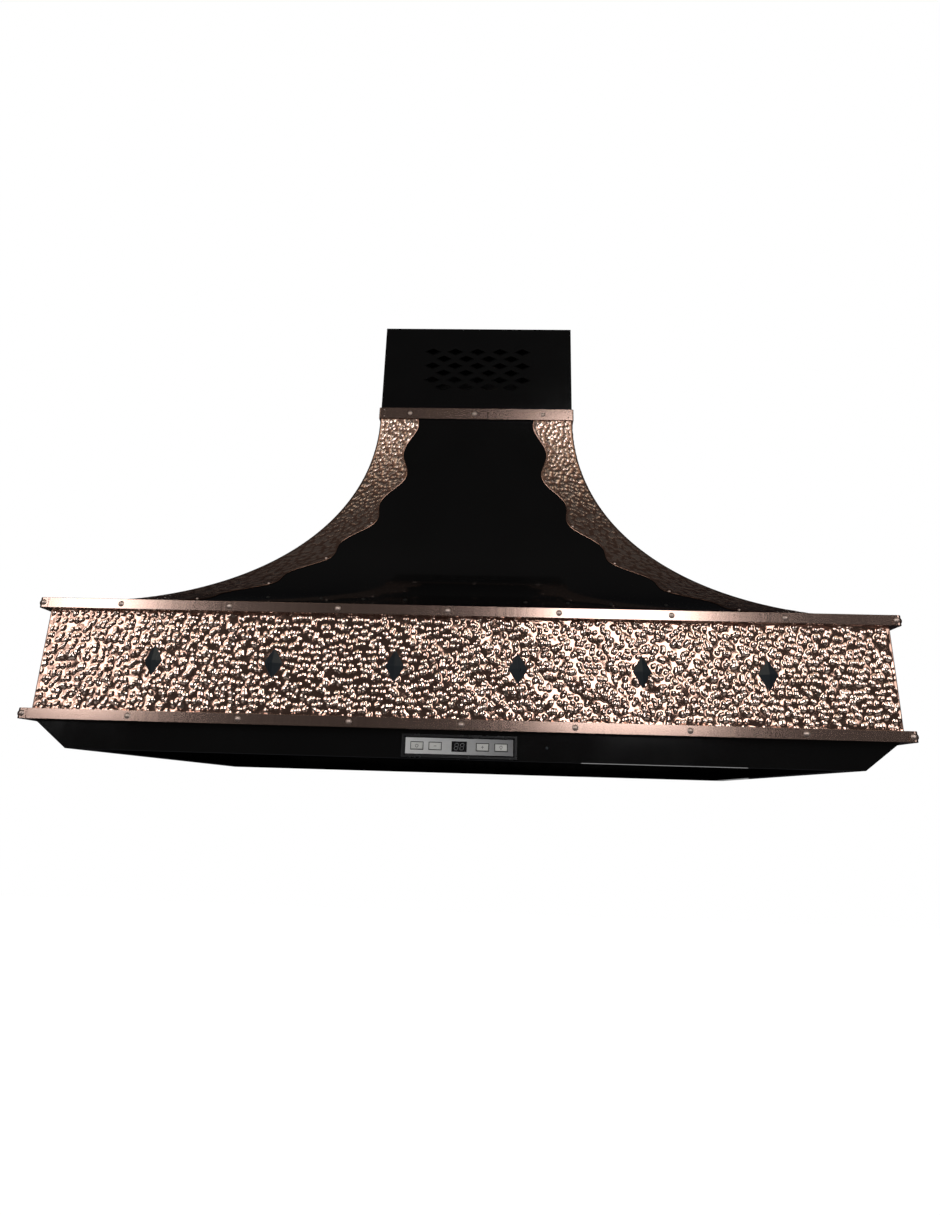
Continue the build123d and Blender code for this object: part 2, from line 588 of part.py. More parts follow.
def pan_wall(end):
    """The right or the front side of the pan: a wall with a flange that turns outwards."""
    wall_top, flange_top = PAN_TOP - STEEL, 2 * STEEL
    if end:
        long = PAN_Y - STEEL
        wall = slab(PAN_X - STEEL, PAN_X, -long, long, STEEL, wall_top)
        return wall + slab(PAN_X, PAN_X + PAN_FLANGE, -long, long, STEEL, flange_top)
    wall = slab(-PAN_X, PAN_X, -PAN_Y, STEEL - PAN_Y, STEEL, wall_top)
    reach = PAN_X + PAN_FLANGE
    return wall + slab(-reach, reach, -PAN_Y - PAN_FLANGE, STEEL - PAN_Y, STEEL, flange_top)


def make_pan():
    """A top with mouths for the filters and holes for the lamps, four walls and a stop strip."""
    top = block(PAN_X, PAN_Y, PAN_TOP - STEEL, PAN_TOP)
    for k in range(len(FILTERS)):
        x = (k - 1) * FILTER_PITCH
        top -= slab(x - MOUTH_X, x + MOUTH_X, -MOUTH_Y, MOUTH_Y, PAN_TOP - 5, PAN_TOP + 5)
    for x in (-LAMP_X, LAMP_X):
        for y in (-LAMP_Y, LAMP_Y):
            top -= rod(LAMP_RADIUS, (x, y, PAN_TOP - 5), (x, y, PAN_TOP + 5))
    front, right = pan_wall(False), pan_wall(True)
    walls = [front, mirror(front, Plane.XZ), right, mirror(right, Plane.YZ)]
    for x, y in screw_places():
        walls = [wall - rod(SHANK_RADIUS, (x, y, 0), (x, y, 5)) for wall in walls]
    stop_y = FILTER_Y + FILTER_TRAVEL + STEEL
    stop = slab(STOP_INSET - PAN_X, PAN_X - STOP_INSET, stop_y, stop_y + STEEL, PAN_TOP, FILTER_TOP)
    keep("liner_pan", [top, stop] + walls)


def baffle_row(x, count, z0, z1, open_top):
    """A row of folded channels that run from the front of a filter to its back."""
    y = FILTER_Y - FILTER_WALL
    floor, head = (z0 + FILTER_WALL, z1) if open_top else (z0, z1 - FILTER_WALL)
    channels = []
    for k in range(count):
        middle = x + (k - (count - 1) / 2) * BAFFLE_PITCH
        half = BAFFLE_WIDTH / 2
        channel = slab(middle - half, middle + half, -y, y, z0, z1)
        half -= FILTER_WALL
        channels.append(channel - slab(middle - half, middle + half, -y, y, floor, head))
    return channels


def filter_grip(x, z0):
    """A wire handle that hangs below the front edge of a filter."""
    y, low = GRIP_INSET - FILTER_Y, z0 - GRIP_DROP
    end = GRIP_X + GRIP_RADIUS
    grip = rod(GRIP_RADIUS, (x - GRIP_X, y, z0), (x - GRIP_X, y, low))
    grip += rod(GRIP_RADIUS, (x + GRIP_X, y, z0), (x + GRIP_X, y, low))
    return grip + rod(GRIP_RADIUS, (x - end, y, low), (x + end, y, low))


def make_filters():
    z0, z1, wall = PAN_TOP + FILTER_GAP, FILTER_TOP, FILTER_WALL
    outer, inner = (FILTER_X, FILTER_Y), (FILTER_X - wall, FILTER_Y - wall)
    rim = (FILTER_X - FILTER_RIM_X, FILTER_Y - FILTER_RIM_Y)
    frame = ring(outer, inner, z0, z1) + ring(outer, rim, z0, z0 + wall)
    frame += ring(outer, rim, z1 - wall, z1)
    for k, name in enumerate(FILTERS):
        x = (k - 1) * FILTER_PITCH
        pieces = [Pos(x, 0, 0) * frame]
        pieces += baffle_row(x, BAFFLES, z0 + wall, z0 + BAFFLE_HEIGHT, True)
        pieces += baffle_row(x, BAFFLES - 1, z1 - BAFFLE_HEIGHT, z1 - wall, False)
        keep(f"baffle_filter_{name}", pieces + [filter_grip(x, z0)])


def make_lamps():
    z_face = PAN_TOP - STEEL
    names = ("front_left", "front_right", "back_left", "back_right")
    for name in names:
        x = LAMP_X if name.endswith("right") else -LAMP_X
        y = -LAMP_Y if name.startswith("front") else LAMP_Y
        can = rod(LAMP_RADIUS, (x, y, z_face), (x, y, z_face + LAMP_DEPTH))
        can += rod(LAMP_FLANGE, (x, y, z_face - LAMP_WALL), (x, y, z_face))
        can -= rod(LAMP_RADIUS - LAMP_WALL, (x, y, z_face - 5), (x, y, z_face + LAMP_DEPTH - LAMP_WALL))
        keep(f"lamp_housing_{name}", can)
        seat = z_face - LENS_SEAT
        lens = rod(LAMP_RADIUS - LAMP_WALL, (x, y, seat), (x, y, seat + LENS_THICK))
        keep(f"lamp_lens_{name}", lens)


# ---------------------------------------------------------------- control panel
BUTTON_SIZE = (20.0, 11.0)
BUTTON_GAP = 1.2
BUTTON_EDGE = 0.8
BUTTON_PROUD = 1.6         # the cap stands this far out of the plate
BUTTON_TRAVEL = 1.2
BUTTON_STEM, STEM_GAP = 6.0, 0.8       # the stem's side, and its gap to the board when pressed
CAP_SINK = 0.5             # the cap's back lies this far behind the skirt's face
BUTTONS = (("power_button", -72.0), ("fan_minus_button", -40.8),
           ("fan_plus_button", 39.7), ("light_button", 71.0))
DISPLAY_SIZE = (26.0, 17.0)
DISPLAY_SINK, DISPLAY_BACK = 0.3, 0.6
BOARD_Y, BOARD_THICK, BOARD_FOOT = 503.0, 1.6, 14.0
BEZEL_SLOPE = 40.0         # the bezel's inner edge slopes down to the plate at this angle


def panel_block(x, width, height, y0, y1):
    """A block on the control panel, placed from the panel's middle."""
    x += PANEL_X
    return slab(x - width / 2, x + width / 2, y0, y1, PANEL_Z - height / 2, PANEL_Z + height / 2)


def make_control_panel():
    face = -SKIRT_Y
    bezel = panel_block(0, BEZEL_WIDTH, BEZEL_HEIGHT, face - BEZEL_PROUD, face)
    bezel = fillet(bezel.faces().sort_by(Axis.Y)[0].edges(), SOFT_EDGE)
    plane = Plane(origin=(PANEL_X, face, PANEL_Z), x_dir=(1, 0, 0), z_dir=(0, -1, 0))
    bezel -= extrude(plane * Rectangle(PLATE_WIDTH, PLATE_HEIGHT), BEZEL_PROUD + 1, taper=-BEZEL_SLOPE)
    keep("control_bezel", bezel)
    front = face - PLATE_PROUD
    plate = panel_block(0, PLATE_WIDTH, PLATE_HEIGHT, front, face)
    width, height = BUTTON_SIZE
    for name, x in BUTTONS:
        plate -= panel_block(x, width + 2 * BUTTON_GAP, height + 2 * BUTTON_GAP, front - 1, face + 1)
    plate -= panel_block(0, *DISPLAY_SIZE, front - 1, face + 1)
    keep("control_plate", plate)
    window = panel_block(0, *DISPLAY_SIZE, front + DISPLAY_SINK, face + DISPLAY_BACK)
    keep("display_window", window)
    board = panel_block(0, SLOT_WIDTH - 8, SLOT_HEIGHT - 2, -BOARD_Y, BOARD_THICK - BOARD_Y)
    board += panel_block(0, DISPLAY_SIZE[0] - 2, DISPLAY_SIZE[1] - 2, face + DISPLAY_BACK, -BOARD_Y)
    for x in (-SLOT_WIDTH / 2 - 3, SLOT_WIDTH / 2 + 3):
        board += panel_block(x, BOARD_FOOT, BOARD_FOOT, face + STEEL, BOARD_THICK - BOARD_Y)
    keep("control_board", board)
    for name, x in BUTTONS:
        cap = panel_block(x, width, height, front - BUTTON_PROUD, face + CAP_SINK)
        cap = fillet(cap.faces().sort_by(Axis.Y)[0].edges(), BUTTON_EDGE)
        stem_end = -BOARD_Y - BUTTON_TRAVEL - STEM_GAP
        keep(name, cap + panel_block(x, BUTTON_STEM, BUTTON_STEM, face + CAP_SINK, stem_end))


# ---------------------------------------------------------------- blower and duct
SCROLL_Y, SCROLL_Z, SCROLL_RADIUS = -65.0, 400.0, 145.0
HOUSING_X = 118.0
FOOT_WIDTH, FOOT_THICK, FOOT_WEB, FOOT_WEB_HEIGHT = 30.0, 4.0, 4.0, 90.0
OUTLET_Y, OUTLET_TOP = 80.0, 590.0
INLET_RADIUS = 88.0
WHEEL_OUTER, WHEEL_INNER, WHEEL_X, WHEEL_PLATE = 98.0, 82.0, 95.0, 3.0
BLADES, BLADE_TILT, BLADE_THICK = 30, 25.0, 1.2
SHAFT_RADIUS, SHAFT_GAP, HUB_RADIUS, HUB_LENGTH = 6.0, 0.05, 15.0, 36.0
SHAFT_START, SHAFT_REACH = -24.0, 40.0             # the shaft enters the motor this far
MOTOR_RADIUS, MOTOR_START, MOTOR_END, MOTOR_BOSS = 55.0, 24.0, 114.0, 30.0
BRACKET_THICK, BRACKET_RIM, BRACKET_HUB, BRACKET_ARM = 2.0, 10.0, 42.0, 16.0
DUCT_OUTER, DUCT_INNER = 100.0, 98.5
DAMPER_Z, DAMPER_TOP = 612.0, 655.0
DAMPER_ROD = 2.0
FLAP_GAP, FLAP_THICK, KNUCKLE_RADIUS = 2.0, 1.0, 4.5
FLAP_INNER, FLAP_OVERLAP = 5.2, 0.8    # the plate starts here, the knuckle arms overlap it
LEFT_KNUCKLES = ((-80, -50), (-19, 10), (41, 70))
RIGHT_KNUCKLES = ((-49.7, -19.3), (10.3, 40.7), (70.3, 90))
COLLAR_PLATE_X, COLLAR_PLATE_Y, COLLAR_PLATE = 122.0, 106.0, 2.0
DIVERTER_X, DIVERTER_Y = 165.0, 149.5
DIVERTER_FOOT, DIVERTER_TOP = 840.0, 985.0
DIVIDER_START, DIVIDER_THICK = 30.0, 2.0


def scroll_outline(shrink):
    """The blower's side view: a round case with an outlet rising from its back."""
    y0, y1 = shrink - OUTLET_Y, OUTLET_Y - shrink
    top = OUTLET_TOP + (5.0 if shrink else 0.0)
    case = Pos(SCROLL_Y, SCROLL_Z) * Circle(SCROLL_RADIUS - shrink)
    outlet = Pos((y0 + y1) / 2, (SCROLL_Z + top) / 2) * Rectangle(y1 - y0, top - SCROLL_Z)
    return case + outlet


def side_plane(x):
    return Plane(origin=(x, 0, 0), x_dir=(0, 1, 0), z_dir=(1, 0, 0))


def axle(radius, x0, x1):
    """A cylinder on the blower wheel's axis."""
    return rod(radius, (x0, SCROLL_Y, SCROLL_Z), (x1, SCROLL_Y, SCROLL_Z))


def make_blower():
    outside = extrude(side_plane(-HOUSING_X) * scroll_outline(0.0), 2 * HOUSING_X)
    inside = extrude(side_plane(STEEL - HOUSING_X) * scroll_outline(STEEL), 2 * (HOUSING_X - STEEL))
    inside += axle(INLET_RADIUS, -HOUSING_X - 5, HOUSING_X + 5)
    foot_x, foot_y = HOUSING_X - FOOT_WIDTH / 2, RAIL_Y + RAIL_WIDTH / 2
    for x in (-foot_x, foot_x):
        outside += slab(x - FOOT_WIDTH / 2, x + FOOT_WIDTH / 2, -foot_y, foot_y,
                        Z_DECK, Z_DECK + FOOT_THICK)
        outside += slab(x - FOOT_WEB / 2, x + FOOT_WEB / 2, -foot_y, OUTLET_Y,
                        Z_DECK, Z_DECK + FOOT_WEB_HEIGHT)
    keep("blower_housing", outside - inside)
    make_wheel()
    keep("motor_shaft", axle(SHAFT_RADIUS, SHAFT_START, MOTOR_START + SHAFT_REACH))
    motor = axle(MOTOR_RADIUS, MOTOR_START, MOTOR_END)
    motor += axle(MOTOR_BOSS, MOTOR_END, HOUSING_X + BRACKET_THICK)
    motor -= axle(SHAFT_RADIUS + SHAFT_GAP, MOTOR_START - 1, MOTOR_START + SHAFT_REACH + 2)
    keep("blower_motor", motor)
    x0, x1 = HOUSING_X, HOUSING_X + BRACKET_THICK
    rim = INLET_RADIUS + BRACKET_RIM
    bracket = axle(rim, x0, x1) - axle(INLET_RADIUS, x0 - 1, x1 + 1)
    bracket += axle(BRACKET_HUB, x0, x1)
    for k in range(3):
        half = BRACKET_ARM / 2
        arm = Rot(120 * k, 0, 0) * slab(x0, x1, -half, half, MOTOR_BOSS, rim - BRACKET_RIM / 2)
        bracket += Pos(0, SCROLL_Y, SCROLL_Z) * arm
    keep("motor_bracket", bracket - axle(MOTOR_BOSS, x0 - 1, x1 + 1))


def make_wheel():
    """A double-inlet wheel: a middle plate on a hub, a ring at each end and blades between."""
    plate, hub = WHEEL_PLATE / 2, HUB_LENGTH / 2
    wheel = axle(WHEEL_OUTER, -plate, plate) + axle(HUB_RADIUS, -hub, hub)
    for x in (-WHEEL_X, WHEEL_X - WHEEL_PLATE):
        hoop = axle(WHEEL_OUTER, x, x + WHEEL_PLATE)
        wheel += hoop - axle(WHEEL_INNER, x - 1, x + WHEEL_PLATE + 1)
    middle, depth = (WHEEL_OUTER + WHEEL_INNER) / 2, WHEEL_OUTER - WHEEL_INNER - 0.5
    blade = Rot(BLADE_TILT, 0, 0) * Box(2 * WHEEL_X - 1, BLADE_THICK, depth)
    blades = []
    for k in range(BLADES):
        turned = Rot(360 * k / BLADES, 0, 0) * Pos(0, 0, middle) * blade
        blades.append(Pos(0, SCROLL_Y, SCROLL_Z) * turned)
    keep("blower_wheel", wheel.fuse(*blades) - axle(SHAFT_RADIUS, -2 * hub, 2 * hub))


def upright_tube(outer, inner, z0, z1):
    return rod(outer, (0, 0, z0), (0, 0, z1)) - rod(inner, (0, 0, z0 - 1), (0, 0, z1 + 1))


def damper_flap(side, spans):
    """A half-round flap with knuckles on the rod. Side is -1 on the left and 1 on the right."""
    radius, z0, z1 = DUCT_INNER - FLAP_GAP, DAMPER_Z - FLAP_THICK / 2, DAMPER_Z + FLAP_THICK / 2
    flap = rod(radius, (0, 0, z0), (0, 0, z1)) & slab(FLAP_INNER, radius, -radius, radius, z0, z1)
    for y0, y1 in spans:
        flap += slab(DAMPER_ROD + 0.5, FLAP_INNER + FLAP_OVERLAP, y0, y1, z0, z1)
        flap += rod(KNUCKLE_RADIUS, (0, y0, DAMPER_Z), (0, y1, DAMPER_Z))
        flap -= rod(DAMPER_ROD + SHAFT_GAP, (0, y0 - 1, DAMPER_Z), (0, y1 + 1, DAMPER_Z))
    return flap if side > 0 else mirror(flap, Plane.YZ)


def make_duct():
    collar = upright_tube(DUCT_OUTER, DUCT_INNER, OUTLET_TOP, DAMPER_TOP)
    plate = slab(-COLLAR_PLATE_X, COLLAR_PLATE_X, -COLLAR_PLATE_Y, COLLAR_PLATE_Y,
                 OUTLET_TOP, OUTLET_TOP + COLLAR_PLATE)
    mouth = slab(-HOUSING_X + STEEL, HOUSING_X - STEEL, STEEL - OUTLET_Y, OUTLET_Y - STEEL,
                 OUTLET_TOP - 5, OUTLET_TOP + 5)
    mouth &= rod(DUCT_INNER, (0, 0, OUTLET_TOP - 5), (0, 0, OUTLET_TOP + 5))
    collar = (collar + plate) - mouth
    damper_rod = rod(DAMPER_ROD, (0, -DUCT_OUTER, DAMPER_Z), (0, DUCT_OUTER, DAMPER_Z))
    keep("duct_collar", collar - damper_rod)
    keep("damper_rod", damper_rod)
    keep("damper_flap_left", damper_flap(-1, LEFT_KNUCKLES))
    keep("damper_flap_right", damper_flap(1, RIGHT_KNUCKLES))
    keep("duct_pipe", upright_tube(DUCT_OUTER, DUCT_INNER, DAMPER_TOP, DIVERTER_FOOT))
    x, y, z0, z1 = DIVERTER_X, DIVERTER_Y, DIVERTER_FOOT, DIVERTER_TOP
    inner_x = x - STEEL
    box = slab(-x, x, -y, y, z0, z1)
    box -= slab(-inner_x, inner_x, -y - 1, y + 1, z0 + STEEL, z1 - STEEL)
    box -= rod(DUCT_INNER, (0, 0, z0 - 1), (0, 0, z0 + STEEL + 1))
    half = DIVIDER_THICK / 2
    divider = slab(-inner_x, inner_x, -half, half, z0 + DIVIDER_START, z1 - STEEL)
    keep("air_diverter", box + divider)


JUNCTION = (300.0, 400.0, 100.0, 170.0)
JUNCTION_HEIGHT, JUNCTION_WALL = 45.0, 2.0


def make_junction_box():
    x0, x1, y0, y1 = JUNCTION
    z0, z1, wall = Z_DECK, Z_DECK + JUNCTION_HEIGHT, JUNCTION_WALL
    case = slab(x0, x1, y0, y1, z0, z1)
    case -= slab(x0 + wall, x1 - wall, y0 + wall, y1 - wall, z0 + wall, z1 + 1)
    lid = slab(x0 - 1, x1 + 1, y0 - 1, y1 + 1, z1, z1 + wall)
    keep("junction_box", [case, lid])


make_bell()
make_bell_fasteners()
make_chimney()
make_collar()
make_hanging_frame()
make_body_frame()
make_band()
make_straps()
make_skirt()
make_pan()
make_filters()
make_lamps()
make_control_panel()
make_blower()
make_duct()
make_junction_box()

os.makedirs("parts", exist_ok=True)
for node_name, node_shape in NODES.items():
    export_step(node_shape, f"parts/{node_name}.step")
print(len(NODES), "nodes")
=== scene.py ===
# %% [markdown]
# # An island range hood in black enamel and hammered copper
# The hood hangs from the ceiling over a kitchen island. Its sheet steel bell, chimney and skirt are
# baked black, and its band and corner trims are hammered copper between riveted copper straps.
# The working model is already built to size, so this lesson loads it as a fixed frame, keeps every
# piece whose shape is right, and makes only what the frame leaves plain: the hammered sheets, the
# marks on the control panel and a small sensor.

# %% Load the frame
import json
from math import asin, cos, pi, sin

import bmesh
import bpy
import numpy as np
from mathutils import Matrix, Vector

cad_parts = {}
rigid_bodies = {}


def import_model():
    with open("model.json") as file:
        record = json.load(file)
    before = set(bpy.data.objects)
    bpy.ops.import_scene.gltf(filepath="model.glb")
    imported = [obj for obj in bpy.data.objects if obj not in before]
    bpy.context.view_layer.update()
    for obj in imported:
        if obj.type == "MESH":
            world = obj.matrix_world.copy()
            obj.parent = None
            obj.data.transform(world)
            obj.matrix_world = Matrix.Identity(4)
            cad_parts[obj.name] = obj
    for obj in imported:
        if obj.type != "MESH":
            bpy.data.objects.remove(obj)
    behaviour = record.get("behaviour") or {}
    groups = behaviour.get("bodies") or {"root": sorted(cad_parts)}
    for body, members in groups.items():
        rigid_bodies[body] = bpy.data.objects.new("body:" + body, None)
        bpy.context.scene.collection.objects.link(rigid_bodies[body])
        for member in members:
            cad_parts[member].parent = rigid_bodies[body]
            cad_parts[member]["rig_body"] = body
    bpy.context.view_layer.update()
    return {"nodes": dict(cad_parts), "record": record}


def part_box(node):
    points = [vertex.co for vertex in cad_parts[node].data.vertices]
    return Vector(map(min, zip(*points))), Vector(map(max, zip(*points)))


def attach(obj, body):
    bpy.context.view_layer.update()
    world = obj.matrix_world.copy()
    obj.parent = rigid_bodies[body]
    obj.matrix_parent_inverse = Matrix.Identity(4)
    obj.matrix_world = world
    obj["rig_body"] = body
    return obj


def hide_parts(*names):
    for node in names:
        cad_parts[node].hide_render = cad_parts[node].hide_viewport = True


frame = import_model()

NODES = frame["nodes"]

# %% [markdown]
# ## The camera
# A hood is looked up at. Somebody of ordinary height stands two metres from it, with their eyes just
# under its lower edge, and tips their head back by twenty degrees. A wide lens takes in the whole
# width from so near. The lens is shifted a little, as a view camera's is, so that the hood sits above
# the middle of the frame with no extra tilt. The three turns are given as yaw, pitch and roll, because
# a person sets up a tripod head in that order, and one small matrix for each keeps them apart.

# %% Camera
MM = 0.001
EYE = Vector((79.8, -2064.3, -56.1)) * MM
YAW, PITCH, ROLL = 0.0472, 0.3594, 0.0305
LENS = 25.87
SHIFT = -0.1156


def aim(yaw, pitch, roll):
    """A camera's turn in the world: heading to the right, nose up, then rolled about the view."""
    level = Matrix.Rotation(pi / 2, 3, "X")
    tripod = Matrix.Rotation(yaw, 3, "Z") @ Matrix.Rotation(pitch, 3, "X") @ level
    return tripod @ Matrix.Rotation(roll, 3, "Z")


camera_data = bpy.data.cameras.new("camera")
camera_data.lens = LENS
camera_data.shift_y = SHIFT
camera = bpy.data.objects.new("camera", camera_data)
camera.location = EYE
camera.rotation_mode = "QUATERNION"
camera.rotation_quaternion = aim(YAW, PITCH, ROLL).to_quaternion()
bpy.context.scene.collection.objects.link(camera)
bpy.context.scene.camera = camera
bpy.context.scene.view_settings.view_transform = "Standard"
print("eye height below the hood's edge:", round(-EYE.z, 3), "m")

# %% [markdown]
# ## Writing a finish as arithmetic
# A material in Blender is a graph of nodes, and wiring one by hand hides what it says. Here a socket
# is wrapped in a small class, so that `1 - mask` or `grain * 0.2 + 0.3` reads as arithmetic and adds
# the Math nodes by itself. Almost everything else comes from one method, `node`, which takes the
# node's type, its settings and what goes into its sockets. Two colours are mixed by `blend`.

# %% Sockets that can be added and multiplied
class Wire:
    """The output of a node. Arithmetic on it adds Math nodes to its finish."""

    def __init__(self, finish, socket):
        self.finish = finish
        self.socket = socket

    def math(self, operation, first, second):
        return self.finish.node("Math", {"operation": operation}, {0: first, 1: second})

    def __add__(self, other):
        return self.math("ADD", self, other)

    def __sub__(self, other):
        return self.math("SUBTRACT", self, other)

    def __mul__(self, other):
        return self.math("MULTIPLY", self, other)

    def __rsub__(self, other):
        return self.math("SUBTRACT", other, self)

    __radd__ = __add__
    __rmul__ = __mul__


class Finish:
    """A material on its way: nodes are made by node(), and close() sets the shader."""

    def __init__(self, name):
        self.material = bpy.data.materials.new(name)
        self.material.use_nodes = True
        self.nodes = self.material.node_tree.nodes
        self.links = self.material.node_tree.links
        self.shader = self.nodes["Principled BSDF"]
        self.place = self.node("TexCoord", output="Object")

    def plug(self, socket, value):
        if isinstance(value, Wire):
            self.links.new(value.socket, socket)
        elif isinstance(value, tuple) and socket.type == "RGBA":
            socket.default_value = (*value, 1.0)
        else:
            socket.default_value = value

    def node(self, kind, settings=None, inputs=None, output=0):
        made = self.nodes.new("ShaderNode" + kind)
        for name, value in (settings or {}).items():
            if name == "stops":
                self.set_ramp(made.color_ramp, value)
            else:
                setattr(made, name, value)
        for name, value in (inputs or {}).items():
            self.plug(made.inputs[name], value)
        return Wire(self, made.outputs[output])

    def set_ramp(self, ramp, stops):
        ramp.elements[0].position, ramp.elements[-1].position = stops[0][0], stops[-1][0]
        for place, _ in stops[1:-1]:
            ramp.elements.new(place)
        for element, (_, grey) in zip(ramp.elements, stops):
            element.color = (grey, grey, grey, 1.0)

    def noise(self, scale, detail=3.0, roughness=0.55, stretch=None):
        """Soft random patches, from 0 to 1. The scale is in patches for each metre."""
        place = self.place
        if stretch:
            place = self.node("Mapping", inputs={"Vector": place, "Scale": stretch})
        settings = {"Vector": place, "Scale": scale, "Detail": detail, "Roughness": roughness}
        return self.node("TexNoise", inputs=settings)

    def ramp(self, value, *stops):
        """A grey that follows a value through (place, grey) stops."""
        return self.node("ValToRGB", {"stops": stops}, {"Fac": value})

    def blend(self, share, first, second):
        """The first colour where share is 0, the second where it is 1."""
        node = self.nodes.new("ShaderNodeMix")
        node.data_type = "RGBA"
        self.plug(node.inputs["Factor"], share)
        self.plug(node.inputs[6], first)
        self.plug(node.inputs[7], second)
        return Wire(self, node.outputs[2])

    def bump(self, height, depth):
        """A relief of the given depth in metres, too fine to be cut in the mesh."""
        return self.node("Bump", inputs={"Height": height, "Distance": depth})

    def close(self, **sockets):
        """Set or link the shader's own sockets. An underscore stands for a space."""
        for name, value in sockets.items():
            self.plug(self.shader.inputs[name.replace("_", " ")], value)
        return self.material


print("finishes can be written as arithmetic")

# %% [markdown]
# ## Black baked enamel
# The bell, chimney and skirt are sheet steel under a deep gloss black. Such a coat is never a perfect
# mirror: it has a fine orange-peel ripple, and hands and dust leave faint patches that are a little
# less glossy. Both are far too fine for the mesh, so they are a bump and a change in roughness. The
# underlying colour hardly matters; what one sees is the reflection.

# %% Enamel and other black finishes
def enamel(name, colour, gloss, peel):
    """Baked black paint. Gloss is its lowest roughness, and peel the depth of its ripple."""
    finish = Finish(name)
    patches = finish.noise(7.0, detail=5.0)
    wiped = finish.noise(60.0, detail=4.0, stretch=(1.0, 1.0, 0.25))
    lighter = tuple(1.9 * c for c in colour)
    return finish.close(
        Base_Color=finish.blend(patches, colour, lighter),
        Roughness=finish.ramp(patches * 0.7 + wiped * 0.3, (0.35, gloss), (0.7, gloss + 0.06)),
        Normal=finish.bump(finish.noise(420.0, detail=2.0), peel))


def moulded(name, colour, roughness, grain):
    """Moulded plastic: an even colour with a fine spark-eroded grain."""
    finish = Finish(name)
    pores = finish.noise(2600.0, detail=2.0)
    patches = finish.noise(35.0)
    darker = tuple(0.82 * c for c in colour)
    return finish.close(
        Base_Color=finish.blend(patches, darker, colour),
        Roughness=patches * 0.06 + roughness,
        Normal=finish.bump(pores, grain))


black_enamel = enamel("black_enamel", (0.0035, 0.0035, 0.0037), 0.05, 0.000004)
stud_black = enamel("stud_black", (0.016, 0.022, 0.028), 0.24, 0.00001)
screw_black = enamel("screw_black", (0.010, 0.010, 0.010), 0.3, 0.00002)
# Painted shade: duct_black paints the air diverter behind the chimney's vents near black, so the vents
# look dark inside.
duct_black = enamel("duct_black", (0.003, 0.003, 0.003), 0.5, 0.00002)
bezel_black = moulded("bezel_black", (0.018, 0.018, 0.02), 0.24, 0.00001)
wheel_black = moulded("wheel_black", (0.03, 0.03, 0.03), 0.45, 0.00003)
print("black finishes made")

# %% [markdown]
# ## Copper
# A smith works a copper sheet from behind until it is covered in small round bumps, darkens it with
# liver of sulphur, rubs the high spots bright again and lacquers it. The bumps are real in this model:
# they are cut into the mesh further down, which also stores how high each point stands, from 0 in a
# hollow to 1 on a crest, in an attribute named relief. The finish reads that attribute, so the dark
# patina lies in the hollows and the rubbed metal on the crests, as it does on the real sheet. The
# straps are plain brushed copper instead. Their grain runs upright. A sheet's edge faces are painted
# near black, as painted shade.

# %% Copper finishes
PINK_COPPER = (0.86, 0.58, 0.47)
RUBBED_COPPER = (0.94, 0.74, 0.65)
BROWN_PATINA = (0.30, 0.125, 0.08)
STRAP_COPPER = (0.72, 0.50, 0.42)


def bumped_copper(name, patina, gloss):
    """Bumped copper sheet. Patina is how strongly the hollows are darkened."""
    finish = Finish(name)
    relief = finish.node("Attribute", {"attribute_name": "relief"}, output="Fac")
    clouds = finish.noise(9.0, detail=5.0)
    specks = finish.noise(900.0, detail=3.0)
    hollow = finish.ramp(relief + clouds * 0.2 + specks * 0.1, (0.18, 1.0), (0.5, 0.0))
    body = finish.blend(relief, PINK_COPPER, RUBBED_COPPER)
    return finish.close(
        Base_Color=finish.blend(hollow * patina, body, BROWN_PATINA),
        Metallic=1.0,
        Roughness=hollow * 0.05 + specks * 0.04 + gloss,
        Normal=finish.bump(specks, 0.000012))


# How many grain lines there are in a metre, along x, y and z.
LEVEL, UPRIGHT = (9.0, 9.0, 1500.0), (350.0, 350.0, 5.0)


def brushed(name, colour, roughness, depth=0.00003, warm=0.12, grain=LEVEL):
    """Brushed metal: fine lines that run level or upright, and slow changes of tone."""
    finish = Finish(name)
    lines = finish.noise(1.0, detail=6.0, roughness=0.65, stretch=grain)
    tone = finish.noise(5.0, detail=4.0)
    shaded = tuple((1.0 - 2.0 * warm) * c for c in colour)
    return finish.close(
        Base_Color=finish.blend(lines * 0.5 + tone * 0.5, shaded, colour),
        Metallic=1.0,
        Roughness=lines * 0.08 + roughness,
        Normal=finish.bump(lines, depth))


hammered_copper = bumped_copper("hammered_copper", 0.5, 0.05)
trim_copper = bumped_copper("trim_copper", 0.55, 0.19)
# Painted shade: the sheets' edge faces are near black, standing in for the shade along each edge.
painted_shade_edge = brushed("painted_shade_edge", (0.03, 0.014, 0.010), 0.6)
strap_copper = brushed("strap_copper", STRAP_COPPER, 0.13, depth=0.0000003, warm=0.18, grain=UPRIGHT)
rivet_copper = brushed("rivet_copper", (0.95, 0.76, 0.68), 0.38, depth=0.0000005)
print("copper finishes made")

# %% [markdown]
# ## The metals inside
# Zinc plating, galvanised duct, stainless filters and cast aluminium differ in their grain more than
# in their colour. Galvanised sheet has large flat crystals, so a Voronoi texture gives it its spangle.
# A casting is pebbled, and ground or brushed steel has fine lines.

# %% Metals
def cast_metal(name, colour, roughness, scale=420.0, depth=0.00012):
    """A pebbled casting or a plated surface."""
    finish = Finish(name)
    pebbles = finish.noise(scale, detail=4.0)
    stains = finish.noise(14.0, detail=4.0)
    darker = tuple(0.72 * c for c in colour)
    return finish.close(
        Base_Color=finish.blend(stains, darker, colour),
        Metallic=1.0,
        Roughness=stains * 0.2 + pebbles * 0.08 + roughness,
        Normal=finish.bump(pebbles, depth))


